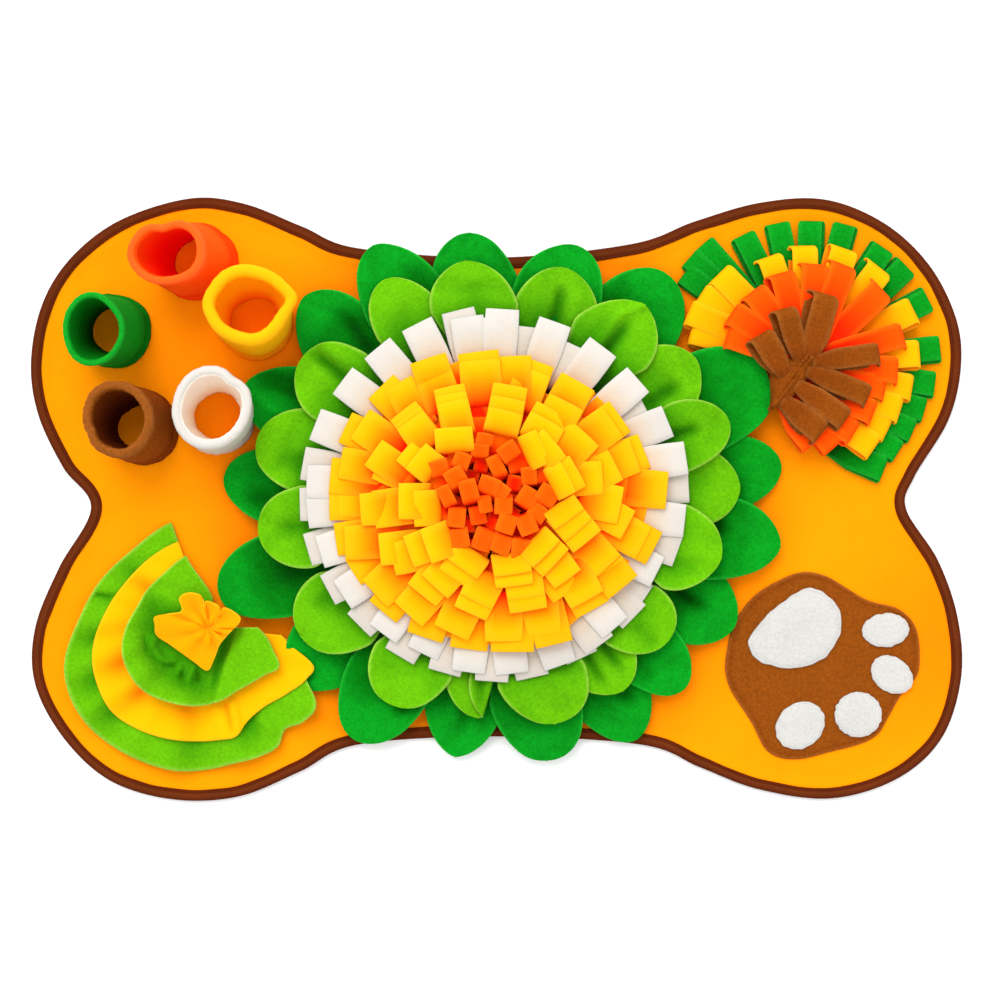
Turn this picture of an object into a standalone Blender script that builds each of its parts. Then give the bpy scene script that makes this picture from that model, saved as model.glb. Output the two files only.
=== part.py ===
"""Snuffle mat: a bone-shaped fleece mat with a bound edge, a big fringed flower in the middle,
five soft cups, a fan of folded strips, a three-layer half-round ruffle with a bow, and a paw
with five pads.

Metres, +Z up. The origin is under the middle of the mat, on the surface that it lies on. +X runs
along the mat's length, +Y across it.
"""

import math

import bmesh
import bpy

# Cloth and sewing.
CLOTH = 0.002  # one layer of fleece
GAP = 0.0003  # between pieces that touch
MAT_THICK = 0.003  # two layers quilted together
BINDING_CLOTH = 0.0015
BINDING_WIDTH = 0.010
EDGE_BEND = 0.012  # how far inside the binding the mat comes back down to the floor

MAT_TOP = MAT_THICK
SEWN_ON = MAT_TOP + GAP  # the underside of what is sewn on the mat

# The mat's edge, anticlockwise from the left waist: x, y. A smooth curve runs through the points.
MAT_EDGE = (
    (-0.392, -0.009),
    (-0.423, -0.067),
    (-0.446, -0.125),
    (-0.446, -0.179),
    (-0.418, -0.232),
    (-0.373, -0.273),
    (-0.312, -0.291),
    (-0.249, -0.288),
    (-0.190, -0.264),
    (-0.134, -0.238),
    (0.000, -0.230),
    (0.140, -0.238),
    (0.197, -0.260),
    (0.253, -0.281),
    (0.323, -0.290),
    (0.387, -0.271),
    (0.430, -0.232),
    (0.449, -0.174),
    (0.446, -0.116),
    (0.427, -0.060),
    (0.396, -0.010),
    (0.404, 0.021),
    (0.437, 0.076),
    (0.449, 0.128),
    (0.444, 0.175),
    (0.418, 0.226),
    (0.375, 0.266),
    (0.318, 0.289),
    (0.255, 0.286),
    (0.192, 0.268),
    (0.130, 0.246),
    (0.000, 0.233),
    (-0.134, 0.242),
    (-0.188, 0.263),
    (-0.244, 0.285),
    (-0.297, 0.290),
    (-0.364, 0.269),
    (-0.411, 0.233),
    (-0.439, 0.188),
    (-0.450, 0.132),
    (-0.443, 0.081),
    (-0.419, 0.030),
)

# The flower.
FLOWER = (0.000, 0.0034)
PETAL_WIDTH = 0.078
PETAL_ROOT = 0.118  # radius of the seam that holds the petals
PETAL_ARCH = 0.010  # how far a petal rises from its seam
PETAL_CUP = 0.002  # how far its two sides curl up
PETAL_RISE = 0.045  # length over which it rises
ROOT_STEP = 0.0030  # between layers of petals at the seam
TIP_STEP = 0.0053  # and where they spread

# Station along a petal's length, and its width there.
PETAL_OUTLINE = (
    (0.00, 0.46),
    (0.28, 0.78),
    (0.56, 1.00),
    (0.82, 0.80),
    (1.00, 0.22),
)

# The lower, dark petals: turn in degrees, reach from the flower's centre.
DARK_PETALS = (
    (5.0, 0.273),
    (22.5, 0.280),
    (48.2, 0.261),
    (72.8, 0.251),
    (94.0, 0.251),
    (112.5, 0.259),
    (134.6, 0.260),
    (153.2, 0.263),
    (178.0, 0.262),
    (198.0, 0.282),
    (227.0, 0.254),
    (242.5, 0.272),
    (262.5, 0.252),
    (281.0, 0.257),
    (298.5, 0.273),
    (311.5, 0.255),
    (328.5, 0.257),
    (350.0, 0.274),
)

# The upper, light petals: turn in degrees, reach.
LIGHT_PETALS = (
    (2.0, 0.229),
    (17.0, 0.230),
    (33.0, 0.226),
    (51.5, 0.230),
    (71.0, 0.222),
    (94.5, 0.223),
    (118.0, 0.225),
    (142.0, 0.224),
    (166.0, 0.228),
    (190.0, 0.226),
    (217.0, 0.230),
    (244.0, 0.222),
    (267.0, 0.211),
    (284.0, 0.223),
    (301.0, 0.223),
    (318.0, 0.211),
    (344.0, 0.219),
)

# The flower's fringes. A row has the radius of its root, then the radius and height of each point
# that its strips pass, up to the tip.
WHITE_STRIPS = 26
WHITE_WIDTH = 0.026
WHITE_ROWS = (
    (0.0990, ((0.1035, 0.041), (0.173, 0.0515))),
    (0.1045, ((0.1100, 0.034), (0.182, 0.0460))),
)
YELLOW_STRIPS = 16
YELLOW_WIDTH = 0.026
YELLOW_ROWS = (
    (0.0560, ((0.0590, 0.061), (0.079, 0.0685))),
    (0.0680, ((0.0710, 0.056), (0.102, 0.0655))),
    (0.0800, ((0.0830, 0.051), (0.130, 0.0610))),
    (0.0910, ((0.0940, 0.046), (0.158, 0.0560))),
)
ORANGE_STRIPS = 12
ORANGE_WIDTH = 0.015
ORANGE_ROWS = (
    (0.0190, ((0.0230, 0.0640),)),
    (0.0300, ((0.0345, 0.0660),)),
    (0.0410, ((0.0460, 0.0620),)),
)
ORANGE_CORE = (0.012, 0.060)  # radius and height of the rolled middle

# The fan of folded strips, in four layers that lie on each other: underside, thickness, radius
# where the strips part, reach, first and last turn in degrees, number of strips.
FAN = (0.301, 0.132)
FAN_SEAM = 0.014  # radius of the bunched middle
FAN_STRIP = 0.025
FAN_LAYERS = (
    ("fan_green", 0.0052, 0.0045, 0.070, 0.131, -57, 142, 14),
    ("fan_yellow", 0.0100, 0.0076, 0.060, 0.113, -58, 168, 15),
    ("fan_orange", 0.0179, 0.0090, 0.045, 0.093, -62, 170, 12),
    ("fan_brown", 0.0272, 0.0100, 0.030, 0.068, -85, 150, 8),
)

# The cups: centre of the base, lean of the rim, radius of the base, rim's half width and depth,
# thickness of the rolled rim.
CUP_HEIGHT = 0.070
CUP_WALL = 0.003
CUP_SIDES = 12
CUPS = (
    ("cup_red", (-0.287, 0.228), (-0.020, 0.001), 0.0365, (0.0345, 0.0290), 0.006),
    ("cup_yellow", (-0.233, 0.171), (0.002, 0.010), 0.0365, (0.0380, 0.0370), 0.009),
    ("cup_brown", (-0.344, 0.068), (-0.007, 0.006), 0.0355, (0.0315, 0.0345), 0.006),
    ("cup_white", (-0.269, 0.080), (0.004, 0.004), 0.0365, (0.0360, 0.0385), 0.008),
    ("cup_green", (-0.369, 0.162), (-0.004, -0.005), 0.0350, (0.0265, 0.0330), 0.005),
)

# The half-round ruffle, three gathered layers round one knot: turn in degrees, reach of each
# layer, lift of its edge.
KNOT = (-0.2785, -0.1255)
RUFFLE_EYE = 0.012  # radius of the gathered middle
RUFFLE_STEP = 0.0030
RUFFLE_REACH = (
    # turn, lower green, yellow, upper green, lift
    (110, 0.109, 0.090, 0.068, 0.003),
    (130, 0.104, 0.089, 0.067, 0.008),
    (150, 0.111, 0.091, 0.071, 0.003),
    (170, 0.130, 0.100, 0.079, 0.008),
    (190, 0.146, 0.115, 0.086, 0.003),
    (210, 0.154, 0.122, 0.086, 0.007),
    (230, 0.154, 0.119, 0.082, 0.003),
    (250, 0.144, 0.115, 0.079, 0.009),
    (270, 0.138, 0.111, 0.074, 0.004),
    (290, 0.131, 0.104, 0.072, 0.010),
    (305, 0.126, 0.092, 0.072, 0.010),
    (318, 0.127, 0.094, 0.073, 0.020),
    (330, 0.120, 0.104, 0.076, 0.028),
    (342, 0.098, 0.112, 0.074, 0.032),
    (354, 0.070, 0.088, 0.060, 0.032),
)
BOW_STEP = 0.0040
BOW_EYE = 0.004
# The bow's outline round its knot: turn in degrees, reach, height of the edge.
BOW_REACH = (
    (0, 0.020, 0.006),
    (22, 0.034, 0.008),
    (50, 0.022, 0.012),
    (82, 0.026, 0.010),
    (118, 0.034, 0.009),
    (142, 0.036, 0.007),
    (165, 0.051, 0.005),
    (192, 0.050, 0.003),
    (230, 0.048, 0.006),
    (266, 0.046, 0.003),
    (290, 0.026, 0.007),
    (330, 0.018, 0.008),
)

# The paw and its five pads.
PAW_EDGE = (
    (0.284, -0.075),
    (0.316, -0.075),
    (0.356, -0.098),
    (0.389, -0.108),
    (0.405, -0.128),
    (0.407, -0.165),
    (0.391, -0.188),
    (0.378, -0.210),
    (0.364, -0.230),
    (0.330, -0.242),
    (0.290, -0.251),
    (0.262, -0.243),
    (0.246, -0.214),
    (0.226, -0.181),
    (0.223, -0.148),
    (0.242, -0.103),
)
PAW_PAD_EDGE = (
    (0.302, -0.087),
    (0.325, -0.100),
    (0.332, -0.124),
    (0.317, -0.152),
    (0.286, -0.163),
    (0.254, -0.156),
    (0.244, -0.138),
    (0.259, -0.116),
    (0.279, -0.099),
)
# Toe pads: centre, half length, half width, turn in degrees.
TOE_PADS = (
    ("paw_toe_1", (0.3755, -0.127), 0.0220, 0.0155, 5),
    ("paw_toe_2", (0.3815, -0.170), 0.0210, 0.0160, -35),
    ("paw_toe_3", (0.3490, -0.2085), 0.0220, 0.0210, 0),
    ("paw_toe_4", (0.2930, -0.219), 0.0245, 0.0205, 40),
)
PAD_SIDES = 12

# Colours, as sRGB parts of 1.
ORANGE_FLEECE = (1.00, 0.60, 0.02)
DARK_BROWN = (0.36, 0.15, 0.05)
DARK_GREEN = (0.02, 0.58, 0.12)
LIGHT_GREEN = (0.42, 0.75, 0.06)
WHITE = (0.96, 0.94, 0.90)
YELLOW = (1.00, 0.80, 0.03)
DEEP_ORANGE = (1.00, 0.42, 0.04)
RED_ORANGE = (1.00, 0.33, 0.10)
BROWN = (0.58, 0.32, 0.12)
FLEECE_ROUGHNESS = 0.95


# Small helpers ---------------------------------------------------------------------------------


def clear_scene():
    for old in list(bpy.data.objects):
        bpy.data.objects.remove(old, do_unlink=True)


def fleece(name, colour):
    """A matt cloth material of one colour."""
    cloth = bpy.data.materials.new(name)
    cloth.use_nodes = True
    shader = cloth.node_tree.nodes["Principled BSDF"]
    linear = [((part + 0.055) / 1.055) ** 2.4 if part > 0.04 else part / 12.92 for part in colour]
    shader.inputs["Base Color"].default_value = (*linear, 1.0)
    shader.inputs["Roughness"].default_value = FLEECE_ROUGHNESS
    shader.inputs["Metallic"].default_value = 0.0
    cloth.diffuse_color = (*linear, 1.0)
    return cloth


class Solid:
    """Collects the points and faces of one closed body."""

    def __init__(self):
        self.points = []
        self.faces = []

    def ring(self, points):
        """Adds the points of one loop and returns their numbers."""
        start = len(self.points)
        self.points.extend(points)
        return list(range(start, len(self.points)))

    def wall(self, lower, upper, closed=True):
        """Faces between two loops of the same length."""
        count = len(lower)
        for i in range(count if closed else count - 1):
            j = (i + 1) % count
            self.faces.append((lower[i], lower[j], upper[j], upper[i]))

    def lid(self, loop):
        self.faces.append(tuple(loop))

    def build(self, name, cloth):
        mesh = bpy.data.meshes.new(name)
        mesh.from_pydata(self.points, [], self.faces)
        mesh.update()
        node = bpy.data.objects.new(name, mesh)
        bpy.context.scene.collection.objects.link(node)
        mesh.materials.append(cloth)
        face_outwards(mesh)
        return node


def face_outwards(mesh):
    """Turns every face of a closed body the same way, pointing out."""
    work = bmesh.new()
    work.from_mesh(mesh)
    bmesh.ops.recalc_face_normals(work, faces=work.faces)
    work.to_mesh(mesh)
    work.free()


def smooth_loop(points, steps):
    """A closed Catmull-Rom curve through the points, with this many steps from each to the next."""
    curve = []
    count = len(points)
    for i in range(count):
        a, b, c, d = (points[(i + k) % count] for k in (-1, 0, 1, 2))
        for step in range(steps):
            t = step / steps
            curve.append(
                tuple(
                    0.5
                    * (
                        2 * b[k]
                        + (c[k] - a[k]) * t
                        + (2 * a[k] - 5 * b[k] + 4 * c[k] - d[k]) * t**2
                        + (3 * b[k] - a[k] - 3 * c[k] + d[k]) * t**3
                    )
                    for k in (0, 1)
                )
            )
    return curve


def inset(loop, distance):
    """The loop moved in by a distance. The loop runs anticlockwise, so its left side is inside."""
    moved = []
    count = len(loop)
    for i in range(count):
        before = loop[i - 1]
        after = loop[(i + 1) % count]
        along = (after[0] - before[0], after[1] - before[1])
        length = math.hypot(*along)
        moved.append(
            (
                loop[i][0] - along[1] / length * distance,
                loop[i][1] + along[0] / length * distance,
            )
        )
    return moved


def at_height(loop, height):
    return [(x, y, height) for x, y in loop]


def polar(centre, radius, turn, height, aside=0.0):
    """A point at a radius and a turn in radians about a centre, moved sideways by aside."""
    return (
        centre[0] + radius * math.cos(turn) - aside * math.sin(turn),
        centre[1] + radius * math.sin(turn) + aside * math.cos(turn),
        height,
    )


def ease(share):
    """0 before 0, 1 after 1, and a smooth rise between."""
    share = min(max(share, 0.0), 1.0)
    return share * share * (3 - 2 * share)


def flat_piece(name, outline, underside, thickness, cloth):
    """A flat cut piece with a straight edge."""
    solid = Solid()
    lower = solid.ring(at_height(outline, underside))
    upper = solid.ring(at_height(outline, underside + thickness))
    solid.wall(lower, upper)
    solid.lid(lower)
    solid.lid(upper)
    return solid.build(name, cloth)


# The mat and its binding -----------------------------------------------------------------------


def build_mat(edge, cloth):
    """The mat lies on the floor and bends up a little at its edge, into the binding."""
    solid = Solid()
    raised = BINDING_CLOTH + GAP
    inner = inset(edge, BINDING_WIDTH + EDGE_BEND)
    lip = inset(edge, BINDING_WIDTH + GAP)
    rim = inset(edge, BINDING_CLOTH + GAP)
    sections = (
        (inner, 0.0),
        (lip, raised),
        (rim, raised),
        (rim, raised + MAT_THICK),
        (inner, MAT_THICK),
    )
    loops = [solid.ring(at_height(loop, height)) for loop, height in sections]
    for lower, upper in zip(loops, loops[1:]):
        solid.wall(lower, upper)
    solid.lid(loops[0])
    solid.lid(loops[-1])
    solid.build("mat", cloth)


def build_binding(edge, cloth):
    """A folded strip that holds the mat's edge between its two lips."""
    solid = Solid()
    height = MAT_THICK + 2 * (BINDING_CLOTH + GAP)
    outer = inset(edge, 0.0)
    inner = inset(edge, BINDING_CLOTH)
    lip = inset(edge, BINDING_WIDTH)
    section = (
        (lip, 0.0),
        (outer, 0.0),
        (outer, height),
        (lip, height),
        (lip, height - BINDING_CLOTH),
        (inner, height - BINDING_CLOTH),
        (inner, BINDING_CLOTH),
        (lip, BINDING_CLOTH),
    )
    loops = [solid.ring(at_height(loop, level)) for loop, level in section]
    for i, loop in enumerate(loops):
        solid.wall(loop, loops[(i + 1) % len(loops)])
    solid.build("binding", cloth)


# The flower ------------------------------------------------------------------------------------


def petal_height(radius, side, level):
    """Underside of a petal: it rises from its seam, and its sides, at side -1 and 1, curl up."""
    rise = ease((radius - PETAL_ROOT) / PETAL_RISE)
    step = ROOT_STEP + (TIP_STEP - ROOT_STEP) * rise
    return SEWN_ON + level * step + (PETAL_ARCH + PETAL_CUP * side * side) * rise


def build_petal(name, turn, reach, level, cloth):
    """One petal: a thin sheet on a grid of stations along its length and three points across."""
    solid = Solid()
    loops = []
    for along, width in PETAL_OUTLINE:
        radius = PETAL_ROOT + along * (reach - PETAL_ROOT)
        lower = []
        upper = []
        for side in (-1, 0, 1):
            aside = side * width * PETAL_WIDTH / 2
            height = petal_height(math.hypot(radius, aside), side * width, level)
            lower.append(polar(FLOWER, radius, turn, height, aside))
            upper.append(polar(FLOWER, radius, turn, height + CLOTH, aside))
        loops.append(solid.ring(lower + upper[::-1]))
    for near, far in zip(loops, loops[1:]):
        solid.wall(near, far)
    for end in (loops[0], loops[-1]):
        solid.faces.append((end[0], end[1], end[4], end[5]))
        solid.faces.append((end[1], end[2], end[3], end[4]))
    solid.build(name, cloth)


def petal_levels(count, lowest):
    """Neighbours lie on different levels: low and high in turn, and an odd last one on top."""
    levels = [lowest + i % 2 for i in range(count)]
    if count % 2:
        levels[-1] = lowest + 2
    return levels


def build_petals(cloths):
    rings = (("petal_dark", DARK_PETALS, 0), ("petal_light", LIGHT_PETALS, 2))
    for name, table, lowest in rings:
        levels = petal_levels(len(table), lowest)
        for number, ((degrees, reach), level) in enumerate(zip(table, levels), start=1):
            build_petal(f"{name}_{number:02d}", math.radians(degrees), reach, level, cloths[name])


def turns_with_gaps(first, last, count, share, closed):
    """The start and end turn of each strip. Of each pitch, the strip takes this share."""
    pitch = (last - first) / count
    turns = []
    for i in range(count):
        middle = first + (i + 0.5) * pitch
        turns.append(middle - share * pitch / 2)
        turns.append(middle + share * pitch / 2)
    if not closed:
        turns[0] = first
        turns[-1] = last
    return turns


def add_strip(solid, start, centre, turn, path):
    """Carries a strip's section along a path of radius, height, width and twist, and closes it.

    start holds the four points that the strip grows from: left and right on its inner side, then
    right and left on its outer side."""
    last = start
    for i, (radius, height, width, twist) in enumerate(path):
        before = path[i - 1] if i else (radius, 0.0)
        after = path[min(i + 1, len(path) - 1)]
        run = (after[0] - before[0], after[1] - before[1])
        length = math.hypot(*run)
        out = run[1] / length * CLOTH / 2
        up = run[0] / length * CLOTH / 2
        corners = []
        for side, away in ((-1, -1), (1, -1), (1, 1), (-1, 1)):
            level = height - away * up
            reach = radius + away * out
            corners.append(polar(centre, reach, turn + twist, level, side * width / 2))
        section = solid.ring(corners)
        solid.wall(last, section)
        last = section
    solid.lid(last)


def build_ring_fringe(name, rows, strips, width, share, cloth, core=None):
    """Rings of strips cut in one band: a flat ring on the mat, with a strip on each cell."""
    solid = Solid()
    turns = turns_with_gaps(0.0, 2 * math.pi, strips, share, closed=True)
    pitch = 2 * math.pi / strips
    radii = [core[0]] if core else []
    for root, _ in rows:
        radii += [root - CLOTH / 2, root + CLOTH / 2]
    top = SEWN_ON + CLOTH
    high = [solid.ring([polar(FLOWER, radius, turn, top) for turn in turns]) for radius in radii]
    under = solid.ring([polar(FLOWER, radii[-1], turn, SEWN_ON) for turn in turns])
    solid.wall(under, high[-1])
    if core:
        solid.lid(under)
        rolled = solid.ring([polar(FLOWER, core[0] * 0.8, turn, core[1]) for turn in turns])
        solid.wall(high[0], rolled)
        solid.lid(rolled)
    else:
        hole = solid.ring([polar(FLOWER, radii[0], turn, SEWN_ON) for turn in turns])
        solid.wall(hole, high[0])
        solid.wall(hole, under)
    first_row = 1 if core else 0
    for band, (near, far) in enumerate(zip(high, high[1:])):
        row, between = divmod(band - first_row, 2)
        for i in range(2 * strips):
            j = (i + 1) % (2 * strips)
            cell = (near[i], near[j], far[j], far[i])
            if between or i % 2:
                solid.lid(cell)
                continue
            middle = (turns[i] + turns[i + 1]) / 2
            stations = rows[row][1]
            path = []
            for number, (radius, height) in enumerate(stations, start=1):
                twist = (row % 2) * pitch / 2 * number / len(stations)
                path.append((radius, height, min(width, share * pitch * radius), twist))
            add_strip(solid, cell, FLOWER, middle, path)
    solid.build(name, cloth)


# The fan ---------------------------------------------------------------------------------------


def build_fan_layer(name, underside, thickness, plate, reach, first, last, strips, cloth):
    """A sector of bunched cloth whose edge is cut in strips, folded back flat on themselves."""
    solid = Solid()
    share = 0.95
    turns = turns_with_gaps(math.radians(first), math.radians(last), strips, share, closed=False)
    pitch = math.radians(last - first) / strips
    top = underside + thickness
    squeeze = (thickness - 2 * CLOTH) / 4
    loops = []
    for radius, height in ((FAN_SEAM, underside), (plate, underside), (plate, top), (FAN_SEAM, top)):
        loops.append(solid.ring([polar(FAN, radius, turn, height) for turn in turns]))
    near_low, far_low, far_high, near_high = loops
    solid.wall(near_low, far_low, closed=False)
    solid.wall(far_high, near_high, closed=False)
    solid.wall(near_high, near_low, closed=False)
    for end in (0, -1):
        solid.lid([loop[end] for loop in loops])
    for i in range(2 * strips - 1):
        rim = (far_high[i], far_high[i + 1], far_low[i + 1], far_low[i])
        if i % 2:
            solid.lid(rim)
            continue
        middle = (turns[i] + turns[i + 1]) / 2
        half = min(FAN_STRIP, share * pitch * reach) / 2
        corners = [
            polar(FAN, reach, middle, top - squeeze, -half),
            polar(FAN, reach, middle, top - squeeze, half),
            polar(FAN, reach, middle, underside + squeeze, half),
            polar(FAN, reach, middle, underside + squeeze, -half),
        ]
        section = solid.ring(corners)
        solid.wall(rim, section)
        solid.lid(section)
    solid.build(name, cloth)


# The cups --------------------------------------------------------------------------------------


def build_cup(name, base, lean, base_radius, rim_radii, roll, cloth):
    """An open tube that stands on the mat, leans, and ends in a thick rolled rim."""
    # Share of the height, share of the way from base size to rim size, step in from the outside.
    profile = (
        (0.00, 0.0, 0.0),
        (0.45, 0.3, 0.0),
        (0.90, 1.0, 0.0),
        (1.00, 1.0, roll / 2),
        (0.88, 1.0, roll),
        (0.00, 0.0, CUP_WALL),
    )
    solid = Solid()
    loops = []
    for height, to_rim, step_in in profile:
        level = SEWN_ON + height * (CUP_HEIGHT - SEWN_ON)
        half_x = base_radius + to_rim * (rim_radii[0] - base_radius) - step_in
        half_y = base_radius + to_rim * (rim_radii[1] - base_radius) - step_in
        loop = []
        for i in range(CUP_SIDES):
            turn = 2 * math.pi * i / CUP_SIDES
            loop.append(
                (
                    base[0] + lean[0] * height + half_x * math.cos(turn),
                    base[1] + lean[1] * height + half_y * math.sin(turn),
                    level,
                )
            )
        loops.append(solid.ring(loop))
    for i, loop in enumerate(loops):
        solid.wall(loop, loops[(i + 1) % len(loops)])
    solid.build(name, cloth)


# The ruffle and its bow ------------------------------------------------------------------------


def build_gathered(name, centre, rows, eye, cloth, closed):
    """A gathered sheet round a centre. Each row is turn, reach, underside at the eye and at the
    edge, and the height grows with the square of the way out."""
    solid = Solid()
    loops = {}
    for side, lift in (("low", 0.0), ("high", CLOTH)):
        for share in (0.0, 0.55, 1.0):
            points = []
            for degrees, reach, middle, edge in rows:
                radius = eye + share * (reach - eye)
                height = middle + (edge - middle) * share**2 + lift
                points.append(polar(centre, radius, math.radians(degrees), height))
            loops[side, share] = solid.ring(points)
    for side in ("low", "high"):
        solid.wall(loops[side, 0.0], loops[side, 0.55], closed)
        solid.wall(loops[side, 0.55], loops[side, 1.0], closed)
    solid.wall(loops["low", 1.0], loops["high", 1.0], closed)
    if closed:
        solid.lid(loops["low", 0.0])
        solid.lid(loops["high", 0.0])
    else:
        solid.wall(loops["low", 0.0], loops["high", 0.0], closed)
        for end in (0, -1):
            for near, far in ((0.0, 0.55), (0.55, 1.0)):
                corners = (("low", near), ("low", far), ("high", far), ("high", near))
                solid.faces.append(tuple(loops[key][end] for key in corners))
    solid.build(name, cloth)


def build_ruffle(cloths):
    """All three layers follow one lifted surface, a step apart, so that none touches the next."""
    widest = max(row[1] for row in RUFFLE_REACH)
    names = ("ruffle_lower_green", "ruffle_yellow", "ruffle_upper_green")
    for layer, name in enumerate(names):
        underside = SEWN_ON + layer * RUFFLE_STEP
        rows = []
        for row in RUFFLE_REACH:
            degrees, reach, lift = row[0], row[1 + layer], row[4]
            lifted = underside + lift * (reach / widest) ** 2
            rows.append((degrees, reach, underside, lifted))
        build_gathered(name, KNOT, rows, RUFFLE_EYE, cloths[name], closed=False)
    underside = SEWN_ON + 2 * RUFFLE_STEP + BOW_STEP
    rows = [(degrees, reach, underside + 0.006, underside + edge) for degrees, reach, edge in BOW_REACH]
    build_gathered("bow", KNOT, rows, BOW_EYE, cloths["bow"], closed=True)


# The paw ---------------------------------------------------------------------------------------


def build_paw(paw_cloth, pad_cloth):
    flat_piece("paw", smooth_loop(PAW_EDGE, 2), SEWN_ON, CLOTH, paw_cloth)
    pad_underside = SEWN_ON + CLOTH + GAP
    flat_piece("paw_pad", smooth_loop(PAW_PAD_EDGE, 2), pad_underside, CLOTH, pad_cloth)
    for name, centre, half_length, half_width, degrees in TOE_PADS:
        tilt = math.radians(degrees)
        outline = []
        for i in range(PAD_SIDES):
            turn = 2 * math.pi * i / PAD_SIDES
            along = half_length * math.cos(turn)
            across = half_width * math.sin(turn)
            x, y, _ = polar(centre, along, tilt, 0.0, across)
            outline.append((x, y))
        flat_piece(name, outline, pad_underside, CLOTH, pad_cloth)


def main():
    clear_scene()
    orange = fleece("mat_orange_fleece", ORANGE_FLEECE)
    dark_green = fleece("dark_green_fleece", DARK_GREEN)
    light_green = fleece("light_green_fleece", LIGHT_GREEN)
    white = fleece("white_fleece", WHITE)
    yellow = fleece("yellow_fleece", YELLOW)
    deep_orange = fleece("deep_orange_fleece", DEEP_ORANGE)
    red_orange = fleece("red_orange_fleece", RED_ORANGE)
    brown = fleece("brown_fleece", BROWN)

    edge = smooth_loop(MAT_EDGE, 2)
    build_mat(edge, orange)
    build_binding(edge, fleece("binding_brown_tape", DARK_BROWN))
    build_petals({"petal_dark": dark_green, "petal_light": light_green})
    build_ring_fringe("fringe_white", WHITE_ROWS, WHITE_STRIPS, WHITE_WIDTH, 0.95, white)
    build_ring_fringe("fringe_yellow", YELLOW_ROWS, YELLOW_STRIPS, YELLOW_WIDTH, 0.90, yellow)
    build_ring_fringe(
        "fringe_orange", ORANGE_ROWS, ORANGE_STRIPS, ORANGE_WIDTH, 0.85, deep_orange, ORANGE_CORE
    )
    for layer, cloth in zip(FAN_LAYERS, (dark_green, yellow, deep_orange, brown)):
        build_fan_layer(*layer, cloth)
    cup_cloths = (red_orange, yellow, brown, white, dark_green)
    for cup, cloth in zip(CUPS, cup_cloths):
        build_cup(*cup, cloth)
    build_ruffle(
        {
            "ruffle_lower_green": light_green,
            "ruffle_yellow": yellow,
            "ruffle_upper_green": light_green,
            "bow": yellow,
        }
    )
    build_paw(brown, white)


main()
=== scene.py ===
"""Snuffle mat as it looks. Every cloth piece is worked out on a grid: most are thin rounded sheets,
and the binding and the cups are closed sections carried round. Each lies where its solid in the part
lies. Metres, +Z up, row frame."""

import math

import bmesh
import bpy
import numpy as np
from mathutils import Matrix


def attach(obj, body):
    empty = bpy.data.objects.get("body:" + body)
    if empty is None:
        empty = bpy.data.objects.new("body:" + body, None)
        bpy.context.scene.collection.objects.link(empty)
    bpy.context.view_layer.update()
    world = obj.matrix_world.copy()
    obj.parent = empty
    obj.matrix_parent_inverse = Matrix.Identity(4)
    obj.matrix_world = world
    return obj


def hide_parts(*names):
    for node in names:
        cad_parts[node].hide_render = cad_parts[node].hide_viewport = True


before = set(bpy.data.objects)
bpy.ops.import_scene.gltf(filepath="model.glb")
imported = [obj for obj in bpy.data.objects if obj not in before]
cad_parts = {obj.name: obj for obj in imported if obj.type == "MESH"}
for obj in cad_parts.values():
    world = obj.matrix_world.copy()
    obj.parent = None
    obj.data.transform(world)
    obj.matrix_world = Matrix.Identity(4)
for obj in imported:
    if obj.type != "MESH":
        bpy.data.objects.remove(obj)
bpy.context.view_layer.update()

# Sizes shared with the part.
CLOTH = 0.002
GAP = 0.0003
MAT_THICK = 0.003
SEWN_ON = MAT_THICK + GAP
BINDING_WIDTH = 0.010
BINDING_CLOTH = 0.0015
EDGE_BEND = 0.012
FLOWER = np.array((0.000, 0.0034))
FAN = np.array((0.301, 0.132))
KNOT = np.array((-0.2785, -0.1255))
CAMERA = (0.0034, -0.00145, 1.5)

# How finely the grids are drawn.
MAT_POINTS = 460  # round the mat
MAT_ROWS = 52  # from its middle to the bend at the binding
BINDING_POINTS = 1300
PETAL_GRID = (48, 30)  # rows along, columns across
PLATE_SIDES = 96
CUP_POINTS = 132
RUFFLE_GRID = (36, 200)
BOW_GRID = (26, 168)

MAT_EDGE = (
    (-0.392, -0.009), (-0.423, -0.067), (-0.446, -0.125), (-0.446, -0.179), (-0.418, -0.232),
    (-0.373, -0.273), (-0.312, -0.291), (-0.249, -0.288), (-0.190, -0.264), (-0.134, -0.238),
    (0.000, -0.230), (0.140, -0.238), (0.197, -0.260), (0.253, -0.281), (0.323, -0.290),
    (0.387, -0.271), (0.430, -0.232), (0.449, -0.174), (0.446, -0.116), (0.427, -0.060),
    (0.396, -0.010), (0.404, 0.021), (0.437, 0.076), (0.449, 0.128), (0.444, 0.175),
    (0.418, 0.226), (0.375, 0.266), (0.318, 0.289), (0.255, 0.286), (0.192, 0.268),
    (0.130, 0.246), (0.000, 0.233), (-0.134, 0.242), (-0.188, 0.263), (-0.244, 0.285),
    (-0.297, 0.290), (-0.364, 0.269), (-0.411, 0.233), (-0.439, 0.188), (-0.450, 0.132),
    (-0.443, 0.081), (-0.419, 0.030),
)  # fmt: skip


# Numbers ---------------------------------------------------------------------------------------


def unit(vectors):
    """The vectors at length 1."""
    return vectors / np.maximum(np.linalg.norm(vectors, axis=-1, keepdims=True), 1e-12)


def ease(share):
    """0 up to 0, 1 from 1, and a smooth rise between."""
    share = np.clip(share, 0.0, 1.0)
    return share * share * (3 - 2 * share)


def hump(distance, half):
    """1 at distance 0, falling off like a bell over the half width."""
    return np.exp(-((distance / half) ** 2))


def bearing(turn):
    """Unit vectors in the plane at these turns, in degrees."""
    turn = np.radians(turn)
    return np.stack([np.cos(turn), np.sin(turn)], axis=-1)


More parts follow.
